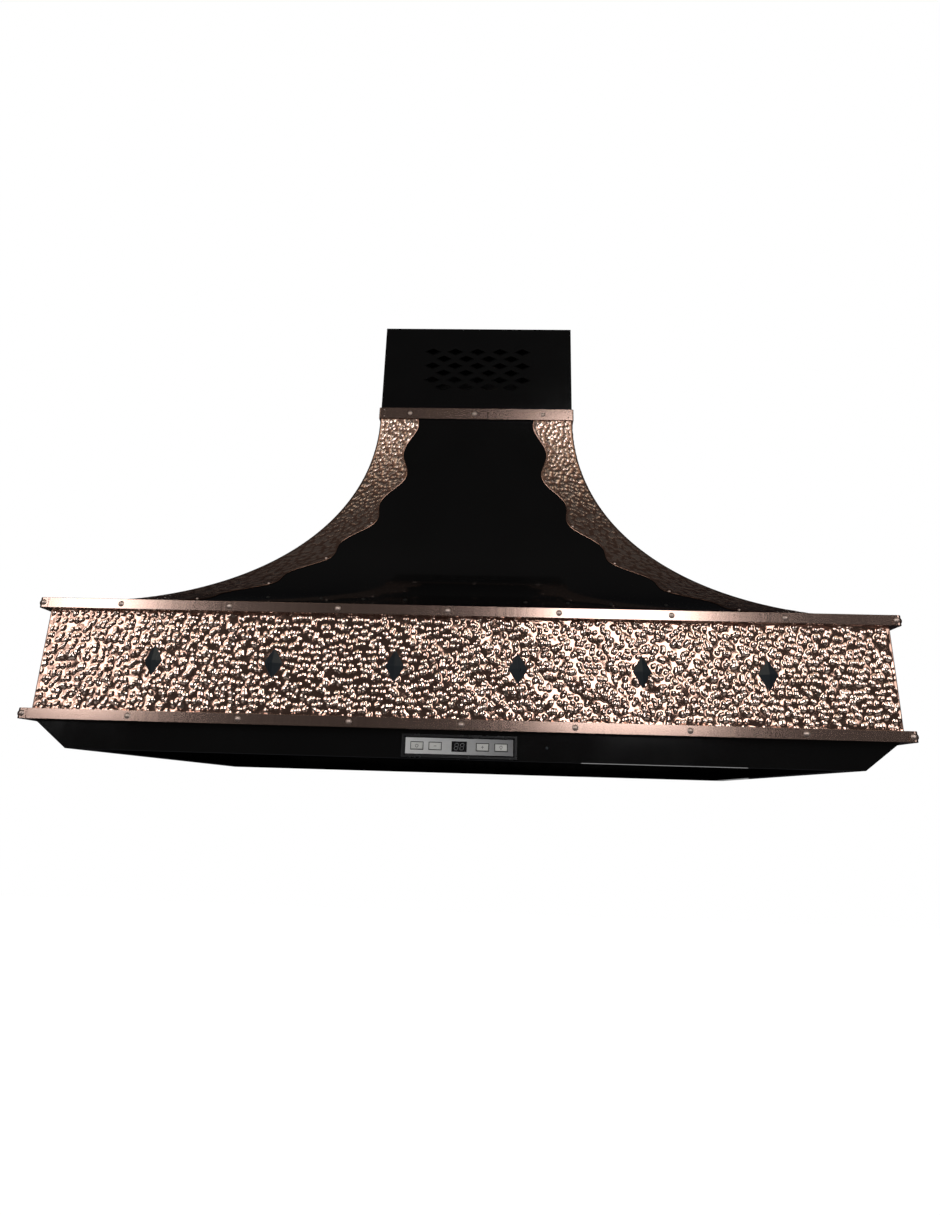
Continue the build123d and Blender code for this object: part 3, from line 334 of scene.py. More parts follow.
def galvanised(name, colour, roughness):
    """Hot-dipped sheet: each crystal is a slightly different grey."""
    finish = Finish(name)
    crystal = finish.node("TexVoronoi", inputs={"Vector": finish.place, "Scale": 130.0}, output="Color")
    grey = finish.node("SeparateColor", inputs={"Color": crystal})
    darker = tuple(0.6 * c for c in colour)
    return finish.close(
        Base_Color=finish.blend(grey, darker, colour),
        Metallic=1.0,
        Roughness=grey * 0.18 + roughness,
        Normal=finish.bump(finish.noise(60.0), 0.0002))


frame_steel = cast_metal("frame_steel", (0.52, 0.53, 0.54), 0.28, 900.0, 0.00002)
duct_steel = galvanised("duct_steel", (0.60, 0.61, 0.62), 0.30)
filter_steel = brushed("filter_steel", (0.62, 0.62, 0.61), 0.22, warm=0.06)
lamp_ring = brushed("lamp_ring", (0.62, 0.62, 0.60), 0.26, warm=0.05)
shaft_steel = brushed("shaft_steel", (0.60, 0.60, 0.60), 0.18, warm=0.04)
motor_grey = cast_metal("motor_grey", (0.36, 0.36, 0.37), 0.42)
print("plain metals made")

# %% [markdown]
# ## The control panel's finishes
# The panel is small, but it is where the eye goes. Its plate is grey brushed aluminium with a painted
# sheen that makes it lighter at its left end. The keys are pale plastic, the display is a smoked
# window, the board behind the gaps is nearly black, and what is printed on the keys is dark grey.

# %% Panel finishes
PLATE_GRAIN = (12.0, 12.0, 4200.0)
PAINTED_SHEEN_PER_METRE = 5.5


def painted_sheen_plate(name):
    """Brushed aluminium with a painted sheen: its base colour falls off from left to right."""
    finish = Finish(name)
    lines = finish.noise(1.0, detail=5.0, stretch=PLATE_GRAIN)
    across = finish.node("SeparateXYZ", inputs={"Vector": finish.place}, output="X")
    # Painted sheen: the base colour runs from near white at the left end to dark grey at the right.
    share = finish.ramp(across * PAINTED_SHEEN_PER_METRE + 0.5, (0.0, 0.0), (1.0, 1.0))
    return finish.close(
        Base_Color=finish.blend(share * 0.8 + lines * 0.2, (0.98, 0.98, 0.98), (0.20, 0.20, 0.21)),
        Metallic=0.5,
        Roughness=lines * 0.15 + 0.4,
        Normal=finish.bump(lines, 0.00001))


def smoked(name):
    """A smoked window: nearly black, very smooth, with a trace of handling."""
    finish = Finish(name)
    touch = finish.noise(180.0, detail=4.0)
    return finish.close(
        Base_Color=finish.blend(touch, (0.008, 0.008, 0.010), (0.014, 0.014, 0.016)),
        Roughness=touch * 0.12 + 0.05)


def frosted(name):
    """The lamps' frosted glass: it scatters the light, and its rim looks a little green."""
    finish = Finish(name)
    frost = finish.noise(1500.0, detail=3.0)
    return finish.close(
        Base_Color=finish.blend(frost, (0.80, 0.82, 0.79), (0.92, 0.93, 0.91)),
        Roughness=frost * 0.2 + 0.35,
        Transmission_Weight=0.35,
        IOR=1.5,
        Normal=finish.bump(frost, 0.00003))


panel_silver = painted_sheen_plate("panel_silver")
button_silver = moulded("button_silver", (0.95, 0.95, 0.93), 0.34, 0.00001)
display_dark = smoked("display_dark")
board_green = moulded("board_green", (0.003, 0.010, 0.005), 0.4, 0.00002)
lamp_glass = frosted("lamp_glass")
print_grey = moulded("print_grey", (0.055, 0.055, 0.06), 0.5, 0.00001)
segment_grey = moulded("segment_grey", (0.34, 0.35, 0.36), 0.45, 0.00001)
print("panel finishes made")

# %% [markdown]
# ## A finish for every piece
# The frame's record says which finish each piece has, by a short name. One table turns those names
# into the finishes above, so no frame piece is left plain.

# %% Give every frame piece its finish
FINISHES = {
    "black_enamel": black_enamel, "hammered_copper": hammered_copper, "strap_copper": strap_copper,
    "rivet_copper": rivet_copper, "stud_black": stud_black, "screw_black": screw_black,
    "duct_black": duct_black, "frame_steel": frame_steel, "duct_steel": duct_steel,
    "filter_steel": filter_steel, "lamp_ring": lamp_ring, "lamp_glass": lamp_glass,
    "bezel_black": bezel_black, "panel_silver": panel_silver, "display_dark": display_dark,
    "board_green": board_green, "button_silver": button_silver, "wheel_black": wheel_black,
    "motor_grey": motor_grey, "shaft_steel": shaft_steel}

SLOTS = {part["node"]: part["material_slot"] for part in frame["record"]["subparts"]}
for node_name, node in NODES.items():
    node.data.materials.clear()
    node.data.materials.append(FINISHES[SLOTS[node_name]])
print(len(set(SLOTS.values())), "finishes on", len(NODES), "pieces")

# %% [markdown]
# ## Making a sheet from a grid of points
# Every sheet below is made the same way: two equal grids of points, one for the face that shows and
# one for its back, joined round the edge into a closed thin solid. A flat sheet needs no grid behind,
# so its back is a single face. A subdivided plane with a displacement modifier would leave an open
# skin with no thickness. Working the points out with numpy keeps the real gauge of the metal and puts
# each point exactly where the shape says. The faces round the edge have a near-black finish that is
# painted shade.

# %% Sheets from grids
def closed_sheet(name, face, back, finish, plain_back=False):
    """A closed solid from two (rows, columns, 3) grids. A plain back is one flat face."""
    rows, columns = face.shape[:2]
    index = np.arange(rows * columns).reshape(rows, columns)
    low, right = index[:-1, :-1], index[:-1, 1:]
    up, across = index[1:, :-1], index[1:, 1:]
    front = np.stack([low, right, across, up], axis=-1).reshape(-1, 4)
    rim = np.concatenate([index[0, :], index[1:, -1], index[-1, -2::-1], index[-2:0:-1, 0]])
    if plain_back:
        behind = back.reshape(-1, 3)[rim]
        rear_rim = rows * columns + np.arange(len(rim))
        rear = [rear_rim[::-1].tolist()]
    else:
        behind = back.reshape(-1, 3)
        rear_rim = rim + rows * columns
        rear = (front[:, ::-1] + rows * columns).tolist()
    edge = np.stack([np.roll(rim, -1), rim, rear_rim, np.roll(rear_rim, -1)], axis=-1)
    mesh = bpy.data.meshes.new(name)
    points = np.concatenate([face.reshape(-1, 3), behind])
    mesh.from_pydata(points.tolist(), [], front.tolist() + rear + edge.tolist())
    smooth = [True] * (len(front) + len(rear)) + [False] * len(edge)
    mesh.polygons.foreach_set("use_smooth", smooth)
    mesh.materials.append(finish)
    # The edge faces get the painted shade finish.
    mesh.materials.append(painted_shade_edge)
    mesh.polygons.foreach_set("material_index", [0] * (len(front) + len(rear)) + [1] * len(edge))
    mesh.update()
    made = bpy.data.objects.new(name, mesh)
    bpy.context.scene.collection.objects.link(made)
    return made


def store_relief(made, values):
    """Keep how high each point of the face stands, for the finish to read."""
    relief = np.zeros(len(made.data.vertices), dtype=np.float32)
    relief[:values.size] = values.ravel()
    attribute = made.data.attributes.new("relief", "FLOAT", "POINT")
    attribute.data.foreach_set("value", relief)


def settle(made, node_name):
    """The piece stands for a frame piece: it rides on the same body, and the frame piece is hidden."""
    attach(made, NODES[node_name]["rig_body"])
    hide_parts(node_name)


print("sheets can be made")

# %% [markdown]
# ## Where the hammer fell
# The bumps lie in staggered rows, but a hand never keeps a row straight, so each bump is moved by a
# random part of the pitch, and its size and height vary. A bump is a low button: its top is nearly
# flat, and its steepest part is a ring at about three quarters of its radius. That ring leans far
# enough to mirror the windows at the sides of the room, while the top mirrors the dark room in front,
# so a bump shows as a bright loop. Where two bumps overlap, the higher one wins, as it does under a
# hammer, and a little of their heights adds up. The sheet between them isn't flat either: six slow
# waves that run in different directions make it uneven.

# %% Bumps
STRAY = 0.35                                  # how far a bump strays, as a share of the pitch
SIZES, NARROWING, SLANT = (0.78, 1.15), (1.0, 1.4), 0.3
ADDED = 0.2                                   # how much of overlapping heights adds up
WAVE_LENGTHS, MIDDLE_LENGTH = (0.016, 0.020, 0.026, 0.034, 0.047, 0.080), 0.030


def hammer_marks(across, up, pitch, radius, height, seed):
    """Height in metres at points given as distances across and up a sheet."""
    random = np.random.default_rng(seed)
    step_across, step_up = pitch
    column = np.floor(across / step_across).astype(int)
    row = np.floor(up / step_up).astype(int)
    column0, row0 = column.min() - 2, row.min() - 2
    shape = (row.max() - row0 + 3, column.max() - column0 + 3)
    shift_across = random.uniform(-STRAY, STRAY, shape)
    shift_up = random.uniform(-STRAY, STRAY, shape)
    size = random.uniform(*SIZES, shape)
    reach, rise = radius * size, height * size
    slant = random.uniform(-SLANT, SLANT, shape)
    squash = random.uniform(*NARROWING, shape)
    total, highest = np.zeros(across.shape), np.zeros(across.shape)
    for down in (-2, -1, 0, 1, 2):
        for side in (-2, -1, 0, 1, 2):
            r, c = row + down - row0, column + side - column0
            stagger = 0.5 * ((row + down) % 2)
            centre_across = (column + side + 0.5 + stagger + shift_across[r, c]) * step_across
            centre_up = (row + down + 0.5 + shift_up[r, c]) * step_up
            away, above = across - centre_across, up - centre_up
            away = (away + slant[r, c] * above) * squash[r, c]
            share = np.minimum((away ** 2 + above ** 2) / reach[r, c] ** 2, 1.0)
            bump = rise[r, c] * (1.0 - share ** 1.5) ** 2
            total += bump
            highest = np.maximum(highest, bump)
    return (1.0 - ADDED) * highest + ADDED * total


def waver(across, up, depth, seed):
    """The slow unevenness of a sheet that has been worked by hand."""
    random = np.random.default_rng(seed)
    total = np.zeros(across.shape)
    for length in WAVE_LENGTHS:
        heading, phase = random.uniform(0.0, 2 * pi, 2)
        along = across * cos(heading) + up * sin(heading)
        total += length / MIDDLE_LENGTH * np.sin(2 * pi * along / length + phase)
    return depth * total


def ease(distance, width):
    """0 at the edge of a sheet, 1 from width inwards, with no corner between."""
    t = np.clip(distance / width, 0.0, 1.0)
    return t * t * (3.0 - 2.0 * t)


# %% [markdown]
# ## The hammered band
# Four flat sheets go round the hood between the two straps. They are 1.2 mm copper, and a grid of
# 1.7 mm squares is just fine enough to draw a bump about 11 mm wide. The rows of bumps drift a
# little, and the bumps fade out behind the straps, under the diamond studs and at the corners, where
# the smith leaves the metal flat so that it folds and fits.

# %% Band
GRID = 0.0017
COPPER = 0.0012                               # the gauge of the sheet
BAND_PITCH, BAND_BUMP, BAND_RISE, BAND_DRIFT = (0.0118, 0.0112), 0.0056, 0.00125, 0.0004
BAND_UNEVEN, BAND_SEED = 0.00016, 20
END_FLAT, END_FADE = 0.0006, 0.005
STRAP_LAP, STRAP_FADE = 0.001, 0.003
STUD_PITCH, STUD_SHIFT, STUD_HALF = 0.215, -0.007, (0.017, 0.0285)
BED_EDGE, BED_FADE = 0.92, 0.2                # as shares of the stud's half size
STRAP_LINE = (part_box("lower_strap")[1].z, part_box("upper_strap")[0].z)


def band_rows(low, high):
    """Heights of the rows: fine between the straps, and a few behind each strap."""
    fine = np.linspace(*STRAP_LINE, round((STRAP_LINE[1] - STRAP_LINE[0]) / GRID) + 1)
    return np.concatenate([np.linspace(low, fine[0], 4)[:-1], fine, np.linspace(fine[-1], high, 4)[1:]])


def stud_beds(x, z, count, shift):
    """0 under the diamond studs, where the sheet is planished flat, and 1 away from them."""
    level = (STRAP_LINE[0] + STRAP_LINE[1]) / 2
    clear = np.ones(x.shape)
    for k in range(count):
        centre = (k - (count - 1) / 2) * STUD_PITCH + shift
        reach = np.abs(x - centre) / STUD_HALF[0] + np.abs(z - level) / STUD_HALF[1]
        clear *= ease(reach - BED_EDGE, BED_FADE)
    return clear


def band_sheet(name, turn, seed, studs, shift):
    """One side of the band. Turn brings the front sheet round to the side it belongs to."""
    inverse = turn.inverted()
    corners = [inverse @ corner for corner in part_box(name)]
    low = Vector(map(min, *corners))
    high = Vector(map(max, *corners))
    columns = round((high.x - low.x) / GRID) + 1
    x, z = np.meshgrid(np.linspace(low.x, high.x, columns), band_rows(low.z, high.z))
    drift_x, drift_z = waver(x, z, BAND_DRIFT, seed + 7), waver(x, z, BAND_DRIFT, seed + 8)
    bumps = hammer_marks(x + drift_x, z + drift_z, BAND_PITCH, BAND_BUMP, BAND_RISE, seed)
    uneven = waver(x, z, BAND_UNEVEN, seed)
    ends = ease(np.minimum(x - low.x, high.x - x) - END_FLAT, END_FADE)
    above, below = z - STRAP_LINE[0] + STRAP_LAP, STRAP_LINE[1] + STRAP_LAP - z
    clear = ends * ease(above, STRAP_FADE) * ease(below, STRAP_FADE)
    bumps *= clear * stud_beds(x, z, studs, shift)
    face = np.stack([x, low.y - bumps - uneven * clear, z], axis=-1)
    back = np.stack([x, np.full_like(x, low.y + COPPER), z], axis=-1)
    matrix = np.array(turn)
    made = closed_sheet(f"hammered_{name}", face @ matrix.T, back @ matrix.T, hammered_copper, True)
    store_relief(made, bumps / BAND_RISE)
    settle(made, name)
    return made


def quarter_turns(count):
    """Turns of 90 degrees about the hood's upright axis."""
    return Matrix.Rotation(count * pi / 2, 3, "Z")


for count, side in enumerate(("front", "right", "back", "left")):
    studs, shift = (4, 0.0) if count % 2 else (6, STUD_SHIFT)
    sheet = band_sheet(f"band_panel_{side}", quarter_turns(count), BAND_SEED + count, studs, shift)
    print(sheet.name, len(sheet.data.polygons), "faces")

# %% [markdown]
# ## The bell's curve
# Each side of the bell is a quarter of an elliptical hollow: upright under the collar, and almost flat
# where it meets the strap. The ends flare further than the front, so a corner, which a smith calls a
# hip, runs diagonally down. The next cell gives the hood's half sizes at each row down the curve, and
# the way the front and the end face there. Above the flare is a short straight neck, which takes the
# first three rows.

# %% Shape of the bell
CHIMNEY_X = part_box("chimney_cover_front")[1].x
VENT_LIP = 0.0012                             # the rolled lip of the vents stands out by this much
CHIMNEY_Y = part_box("chimney_cover_back")[1].y - VENT_LIP
FLARE, RISE, DEPTH_RATIO = 0.596, 0.535, 0.70
Z_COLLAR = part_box("collar_trim")[0].z
Z_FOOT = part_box("bell_panel_front")[0].z
BELL_END = asin((Z_COLLAR - Z_FOOT) / RISE)
WAVES, WAVE_SIZE, WAVE_START = 6, 0.013, 0.013
TRIM_WIDTH, TRIM_GROWTH = 0.080, 0.03
NECK_ROWS = 3


def bell_rows(count, neck):
    """Rows from the top of the neck to the foot: half sizes, height, and both facings."""
    angle = np.concatenate([np.zeros(NECK_ROWS), np.linspace(0.0, BELL_END, count)])
    lift = np.concatenate([np.linspace(neck, neck / NECK_ROWS, NECK_ROWS), np.zeros(count)])
    out = FLARE * (1.0 - np.cos(angle))
    half_x = CHIMNEY_X + out
    half_y = CHIMNEY_Y + DEPTH_RATIO * out
    height = Z_COLLAR + lift - RISE * np.sin(angle)
    facings = []
    for axis in (DEPTH_RATIO * FLARE, FLARE):
        level, steep = np.cos(angle) / axis, np.sin(angle) / RISE
        size = np.hypot(level, steep)
        facings.append((level / size, steep / size))
    return half_x, half_y, height, facings


def lengths(*coordinates):
    """Distance along a line of points, from its first one."""
    steps = sum(np.diff(c) ** 2 for c in coordinates) ** 0.5
    return np.concatenate([[0.0], np.cumsum(steps)])


FOOT_X = CHIMNEY_X + FLARE * (1.0 - cos(BELL_END))
print("the bell flares from", round(2 * CHIMNEY_X, 3), "to", round(2 * FOOT_X, 3), "m wide")

# %% [markdown]
# ## Wavy corner trims
# A trim is one strip of hammered copper folded over the hip, with a wave cut along both edges. The
# grid has one row for each step down the hip, and its columns run from the front edge over the fold to
# the end's edge. The fold isn't a knife edge: a soft corner is made by letting the two sides' distances
# fade into each other over two millimetres, and the way the sheet faces turns with them. The columns
# crowd a little towards the fold. A nail holds every crest of the wave, and the sheet is flat round it.

# %% Trims
TRIM_ROWS, TRIM_SIDE = 420, 44
FOLD = 0.0016
TRIM_PITCH, TRIM_BUMP, TRIM_RISE = (0.0112, 0.0092), 0.0062, 0.0010
TRIM_SEED, SEED_STEP = 60, 50              # the end side's marks have their own seed
NAIL_INSET, NAIL_BED, NAIL_FADE = 0.007, 0.0035, 0.004
FOLD_FLAT, FOLD_FADE, EDGE_FADE = 0.0015, 0.006, 0.009
COLLAR_LAP, COLLAR_FADE = 0.001, 0.004
TRIM_NECK = 0.006
CROWDING = 1.25
BEYOND = 0.3                                  # keeps distances across a side above 0


def soft_part(distance):
    """The positive part of a distance, with its corner rounded over the fold."""
    return FOLD * np.logaddexp(0.0, distance / FOLD)


def trim_sheet(name, mirror_x, mirror_y, seed):
    """One corner trim. It is made for the front right corner and mirrored to the others."""
    half_x, half_y, height, (front_facing, end_facing) = bell_rows(TRIM_ROWS, TRIM_NECK)
    hip = lengths(half_x, half_y, height) - TRIM_NECK
    wave = WAVE_SIZE * np.cos(2 * pi * (hip - WAVE_START) / (hip[-1] / WAVES))
    inset = TRIM_WIDTH + TRIM_GROWTH * np.maximum(hip, 0.0) + wave
    share = np.linspace(-1.0, 1.0, 2 * TRIM_SIDE + 1)
    share = np.sign(share) * np.abs(share) ** CROWDING
    s = inset[:, None] * share[None, :]
    x = half_x[:, None] - soft_part(-s) + 0.0 * s
    y = -half_y[:, None] + soft_part(s)
    z = height[:, None] + 0.0 * s
    turn = 1.0 / (1.0 + np.exp(-2.0 * s / FOLD))
    facing = np.stack([
        turn * end_facing[0][:, None],
        -(1.0 - turn) * front_facing[0][:, None],
        turn * end_facing[1][:, None] + (1.0 - turn) * front_facing[1][:, None]], axis=-1)
    facing /= np.linalg.norm(facing, axis=-1, keepdims=True)
    front_down = lengths(half_y, height)[:, None] + 0.0 * s
    end_down = lengths(half_x, height)[:, None] + 0.0 * s
    front_bumps = hammer_marks(-s + BEYOND, front_down, TRIM_PITCH, TRIM_BUMP, TRIM_RISE, seed)
    end_bumps = hammer_marks(s + BEYOND, end_down, TRIM_PITCH, TRIM_BUMP, TRIM_RISE, seed + SEED_STEP)
    bumps = np.where(s < 0.0, front_bumps, end_bumps)
    bumps *= ease(np.abs(s) - FOLD_FLAT, FOLD_FADE) * ease(inset[:, None] - np.abs(s), EDGE_FADE)
    bumps *= ease(Z_COLLAR - z + COLLAR_LAP, COLLAR_FADE)
    for crest in WAVE_START + hip[-1] / WAVES * np.arange(1, WAVES):
        from_nail = np.hypot(hip[:, None] - crest, inset[:, None] - NAIL_INSET - np.abs(s))
        bumps *= ease(from_nail - NAIL_BED, NAIL_FADE)
    base = np.stack([x, y, z], axis=-1)
    flip = np.array([-1.0 if mirror_x else 1.0, -1.0 if mirror_y else 1.0, 1.0])
    face = (base + facing * (COPPER + bumps)[..., None]) * flip
    back = base * flip
    if mirror_x == mirror_y:
        face, back, bumps = face[::-1], back[::-1], bumps[::-1]
    made = closed_sheet(f"hammered_{name}", face, back, trim_copper)
    store_relief(made, bumps / TRIM_RISE)
    settle(made, name)
    return made


CORNERS = [(depth, width) for depth in ("front", "back") for width in ("left", "right")]
for number, (depth, width) in enumerate(CORNERS):
    corner = f"corner_trim_{depth}_{width}"
    trim = trim_sheet(corner, width == "left", depth == "back", TRIM_SEED + number)
    print(trim.name, len(trim.data.polygons), "faces")

# %% [markdown]
# ## Marks on the control panel
# Every mark is a thin raised print, built as a real outline on the face it belongs to: a ring with a
# gap and a bar for power, a minus, a plus, a lamp, and two seven-segment digits in the window. One
# function turns a flat outline into a shallow prism, and each print rides on its own key, so it moves
# when the key is pressed.

# %% Prints
PRINT_PROUD, PRINT_SINK = 0.00012, 0.00005
LINE = 0.0007                                 # the width of a stroke
ICON = 0.0046                                 # the length of the minus and of the plus


def print_on(name, node_name, outlines, finish):
    """Shallow prisms on the front of a piece. Outlines are lists of (across, up) from its middle."""
    low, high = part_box(node_name)
    middle = (low + high) / 2
    shape = bmesh.new()
    for outline in outlines:
        front, rear = [], []
        for across, up in outline:
            x, z = middle.x + across, middle.z + up
            front.append(shape.verts.new((x, low.y - PRINT_PROUD, z)))
            rear.append(shape.verts.new((x, low.y + PRINT_SINK, z)))
        shape.faces.new(front)
        shape.faces.new(rear[::-1])
        for k in range(len(front)):
            after = (k + 1) % len(front)
            shape.faces.new((front[after], front[k], rear[k], rear[after]))
    bmesh.ops.recalc_face_normals(shape, faces=shape.faces)
    mesh = bpy.data.meshes.new(name)
    shape.to_mesh(mesh)
    shape.free()
    mesh.materials.append(finish)
    made = bpy.data.objects.new(name, mesh)
    bpy.context.scene.collection.objects.link(made)
    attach(made, NODES[node_name]["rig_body"])
    return made


def bar(across, up, width, height):
    """A rectangle about a point."""
    w, h = width / 2, height / 2
    return [(across - w, up - h), (across + w, up - h), (across + w, up + h), (across - w, up + h)]


def arc(across, up, radius, start, end, steps=24):
    """A bent stroke about a point, between two angles in degrees."""
    angles = np.radians(np.linspace(start, end, steps))
    outer = [(across + (radius + LINE / 2) * cos(a), up + (radius + LINE / 2) * sin(a)) for a in angles]
    inner = [(across + (radius - LINE / 2) * cos(a), up + (radius - LINE / 2) * sin(a)) for a in angles]
    return outer + inner[::-1]


def plus(size):
    """The outline of a plus sign about the middle."""
    w, s = LINE / 2, size / 2
    return [(-s, -w), (-w, -w), (-w, -s), (w, -s), (w, -w), (s, -w),
            (s, w), (w, w), (w, s), (-w, s), (-w, w), (-s, w)]


def digit(across, width, height, slant):
    """The seven bars of a digit, leaning to the right."""
    gap, w, h = 0.0006, width / 2, height / 2
    bars = [bar(across, up, width - 2 * gap, LINE) for up in (-h, 0.0, h)]
    for side in (-w, w):
        for up in (-h / 2, h / 2):
            bars.append(bar(across + side, up, LINE, h - 2 * gap))
    return [[(x + slant * z, z) for x, z in outline] for outline in bars]


POWER_RING, POWER_BAR = (0.0, -0.0003, 0.0024, 120, 420), (0.0, 0.0016, LINE, 0.0026)
BULB, BULB_FEET = (0.0, 0.0008, 0.0021, -50, 230), ((-0.0016, 0.0026), (-0.0028, 0.0018))
DIGIT_PLACE, DIGIT_WIDTH, DIGIT_HEIGHT, DIGIT_SLANT = 0.0048, 0.0058, 0.0105, 0.16

power = [arc(*POWER_RING), bar(*POWER_BAR)]
lamp = [arc(*BULB)] + [bar(0.0, up, width, LINE) for up, width in BULB_FEET]
digits = []
for across in (-DIGIT_PLACE, DIGIT_PLACE):
    digits += digit(across, DIGIT_WIDTH, DIGIT_HEIGHT, DIGIT_SLANT)
print_on("power_print", "power_button", power, print_grey)
print_on("minus_print", "fan_minus_button", [bar(0.0, 0.0, ICON, LINE)], print_grey)
print_on("plus_print", "fan_plus_button", [plus(ICON)], print_grey)
print_on("lamp_print", "light_button", lamp, print_grey)
print_on("digit_segments", "display_window", digits, segment_grey)
print("five prints on the panel")

# %% [markdown]
# ## A small sensor
# To the right of the panel sits a low round sensor window, 5 mm across, which tells the fan how warm
# the air is. It is a ball pressed flat into a shallow cap, with its foot sunk in the skirt's face.

# %% Sensor
SENSOR_PLACE, SENSOR_RADIUS, SENSOR_HEIGHT = (0.151, 0.022), 0.0026, 0.0012
SUNK_SHARE = 0.15                             # of the radius
SKIRT_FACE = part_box("skirt")[0].y
sensor_shape = bmesh.new()
bmesh.ops.create_uvsphere(sensor_shape, u_segments=32, v_segments=16, radius=SENSOR_RADIUS)
for vertex in sensor_shape.verts:
    across, depth, up = vertex.co
    proud = max(-depth, -SUNK_SHARE * SENSOR_RADIUS) * SENSOR_HEIGHT / SENSOR_RADIUS
    vertex.co = (SENSOR_PLACE[0] + across, SKIRT_FACE - proud, SENSOR_PLACE[1] + up)
bmesh.ops.dissolve_degenerate(sensor_shape, dist=1e-7, edges=sensor_shape.edges)
sensor_mesh = bpy.data.meshes.new("sensor")
sensor_shape.to_mesh(sensor_mesh)
sensor_shape.free()
sensor_mesh.materials.append(stud_black)
for face in sensor_mesh.polygons:
    face.use_smooth = True
sensor = bpy.data.objects.new("sensor", sensor_mesh)
bpy.context.scene.collection.objects.link(sensor)
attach(sensor, NODES["skirt"]["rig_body"])
print("sensor", len(sensor_mesh.polygons), "faces")

# %% [markdown]
# ## The light
# The room is dim, and the copper is bright because of what it mirrors. Two tall windows eight metres
# in front light the straps: one at the left and one a little right of the middle. Broad dimmer windows
# further out, warm transoms above and pale patches of floor are there for the sloping flanks of the
# bumps to mirror. Two windows and a doorway behind the hood light its back. Area lights stand in for
# them all, and the camera doesn't see them.

# %% Lights
def softbox(name, place, target, size, brightness):
    """A rectangular light. Brightness is how bright its face looks, where 1 is the screen's white."""
    data = bpy.data.lights.new(name, "AREA")
    data.shape = "RECTANGLE"
    data.size, data.size_y = size
    data.energy = brightness * pi * size[0] * size[1]
    made = bpy.data.objects.new(name, data)
    made.location = place
    made.rotation_mode = "QUATERNION"
    made.rotation_quaternion = (Vector(target) - Vector(place)).to_track_quat("-Z", "Y")
    made.visible_camera = False
    bpy.context.scene.collection.objects.link(made)
    return made


def window(name, x0, x1, y, z0, z1, brightness, tint=(1.0, 1.0, 1.0)):
    """An upright window in the plane y, facing the hood, between two corners."""
    middle = ((x0 + x1) / 2, y, (z0 + z1) / 2)
    facing = (middle[0], 0.0, middle[2])
    made = softbox(name, middle, facing, (x1 - x0, z1 - z0), brightness)
    made.data.color = tint
    return made


FRONT, BACK, GROUND = -8.0, 3.0, -1.6
EVENING = (1.0, 0.90, 0.72)
SILL, HEAD = 0.72, 4.1
PATCH = (4.8, 3.4)
window("window_left", -4.75, -3.82, FRONT, SILL, HEAD, 5.0)
window("window_right", 0.55, 2.01, FRONT, SILL, HEAD, 5.0)
window("window_far_left", -12.0, -5.4, FRONT, SILL, 5.0, 1.9)
window("window_far_right", 5.2, 12.0, FRONT, SILL, 5.0, 1.9)
window("transom_left", -9.0, -2.3, FRONT, 5.2, 9.0, 0.85, EVENING)
window("transom_right", 1.6, 8.5, FRONT, 5.2, 9.0, 0.85, EVENING)
window("window_back_left", -2.6, -1.8, BACK, 0.2, 2.0, 2.5)
window("window_back_right", 1.8, 2.6, BACK, 0.2, 2.0, 2.5)
window("doorway_back", 0.5, 1.4, BACK, -0.8, -0.04, 0.3)
softbox("floor_left", (-4.0, -4.7, GROUND), (-4.0, -4.7, 0.0), PATCH, 0.2)
softbox("floor_right", (3.0, -4.7, GROUND), (3.0, -4.7, 0.0), PATCH, 0.2)
print("eleven lights set")

# %% [markdown]
# ## The room seen in the metal
# What isn't a window is nearly dark. The room in front of the hood is a little lighter than the room
# behind it, so the world's brightness follows the direction. The camera alone sees it as white, so the
# hood stands out on a plain ground while its own reflections stay dark.

# %% World
FRONT_GLOOM, BACK_GLOOM = (0.045, 0.043, 0.041, 1.0), (0.010, 0.010, 0.011, 1.0)
GLOOM_ENDS = 0.6

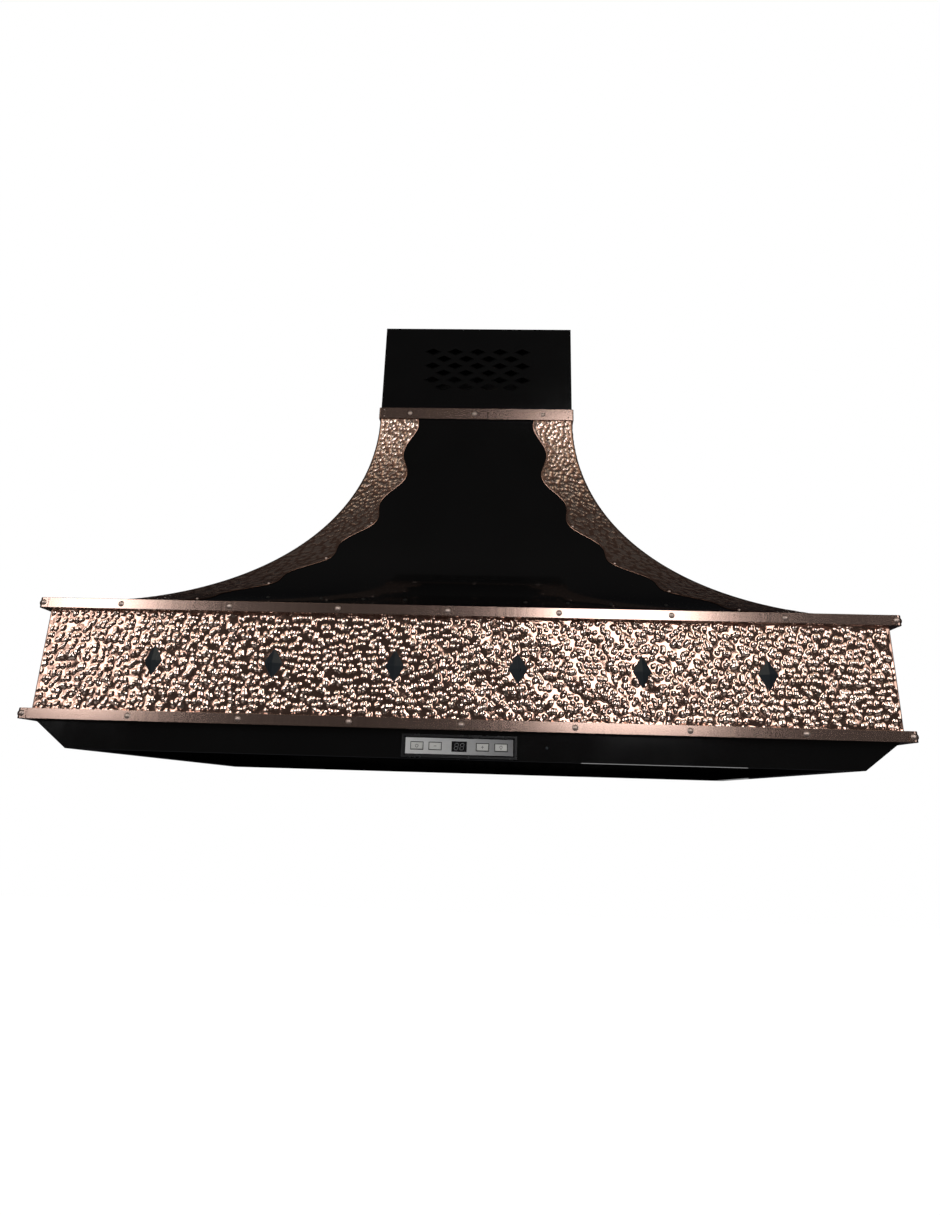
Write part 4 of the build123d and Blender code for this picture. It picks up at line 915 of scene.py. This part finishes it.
world = bpy.data.worlds.new("room")
bpy.context.scene.world = world
world.use_nodes = True
world_nodes, world_links = world.node_tree.nodes, world.node_tree.links
seen = world_nodes["Background"]
seen.inputs["Color"].default_value = (1.0, 1.0, 1.0, 1.0)
room = world_nodes.new("ShaderNodeBackground")
direction = world_nodes.new("ShaderNodeTexCoord")
axes = world_nodes.new("ShaderNodeSeparateXYZ")
depth = world_nodes.new("ShaderNodeValToRGB")
depth.color_ramp.elements[0].color = FRONT_GLOOM
depth.color_ramp.elements[1].color = BACK_GLOOM
depth.color_ramp.elements[1].position = GLOOM_ENDS
path = world_nodes.new("ShaderNodeLightPath")
choose = world_nodes.new("ShaderNodeMixShader")
world_links.new(direction.outputs["Generated"], axes.inputs["Vector"])
world_links.new(axes.outputs["Y"], depth.inputs["Fac"])
world_links.new(depth.outputs["Color"], room.inputs["Color"])
world_links.new(path.outputs["Is Camera Ray"], choose.inputs["Fac"])
world_links.new(room.outputs["Background"], choose.inputs[1])
world_links.new(seen.outputs["Background"], choose.inputs[2])
world_links.new(choose.outputs["Shader"], world_nodes["World Output"].inputs["Surface"])
print("the world is white to the camera and dark to the metal")

# %% [markdown]
# ## The floor
# The hood hangs at its working height, so the floor is far below it. It is pale and plain, and it
# gives off a little light of its own, so that it meets the white ground with no line.

# %% Floor
FLOOR_DROP, FLOOR_SIZE = 1.65, 12.0
floor_mesh = bpy.data.meshes.new("floor")
floor_shape = bmesh.new()
bmesh.ops.create_grid(floor_shape, x_segments=8, y_segments=8, size=FLOOR_SIZE,
                      matrix=Matrix.Translation((0.0, 0.0, -FLOOR_DROP)))
floor_shape.to_mesh(floor_mesh)
floor_shape.free()
floor = bpy.data.objects.new("floor", floor_mesh)
bpy.context.scene.collection.objects.link(floor)
floor_finish = Finish("floor_pale")
floor.data.materials.append(floor_finish.close(
    Base_Color=floor_finish.blend(floor_finish.noise(3.0), (0.30, 0.30, 0.30), (0.32, 0.32, 0.32)),
    Roughness=0.9,
    Emission_Color=(1.0, 1.0, 1.0),
    Emission_Strength=1.0))
floor.visible_glossy = False
floor.visible_diffuse = False
print("floor", FLOOR_DROP, "m below the hood")
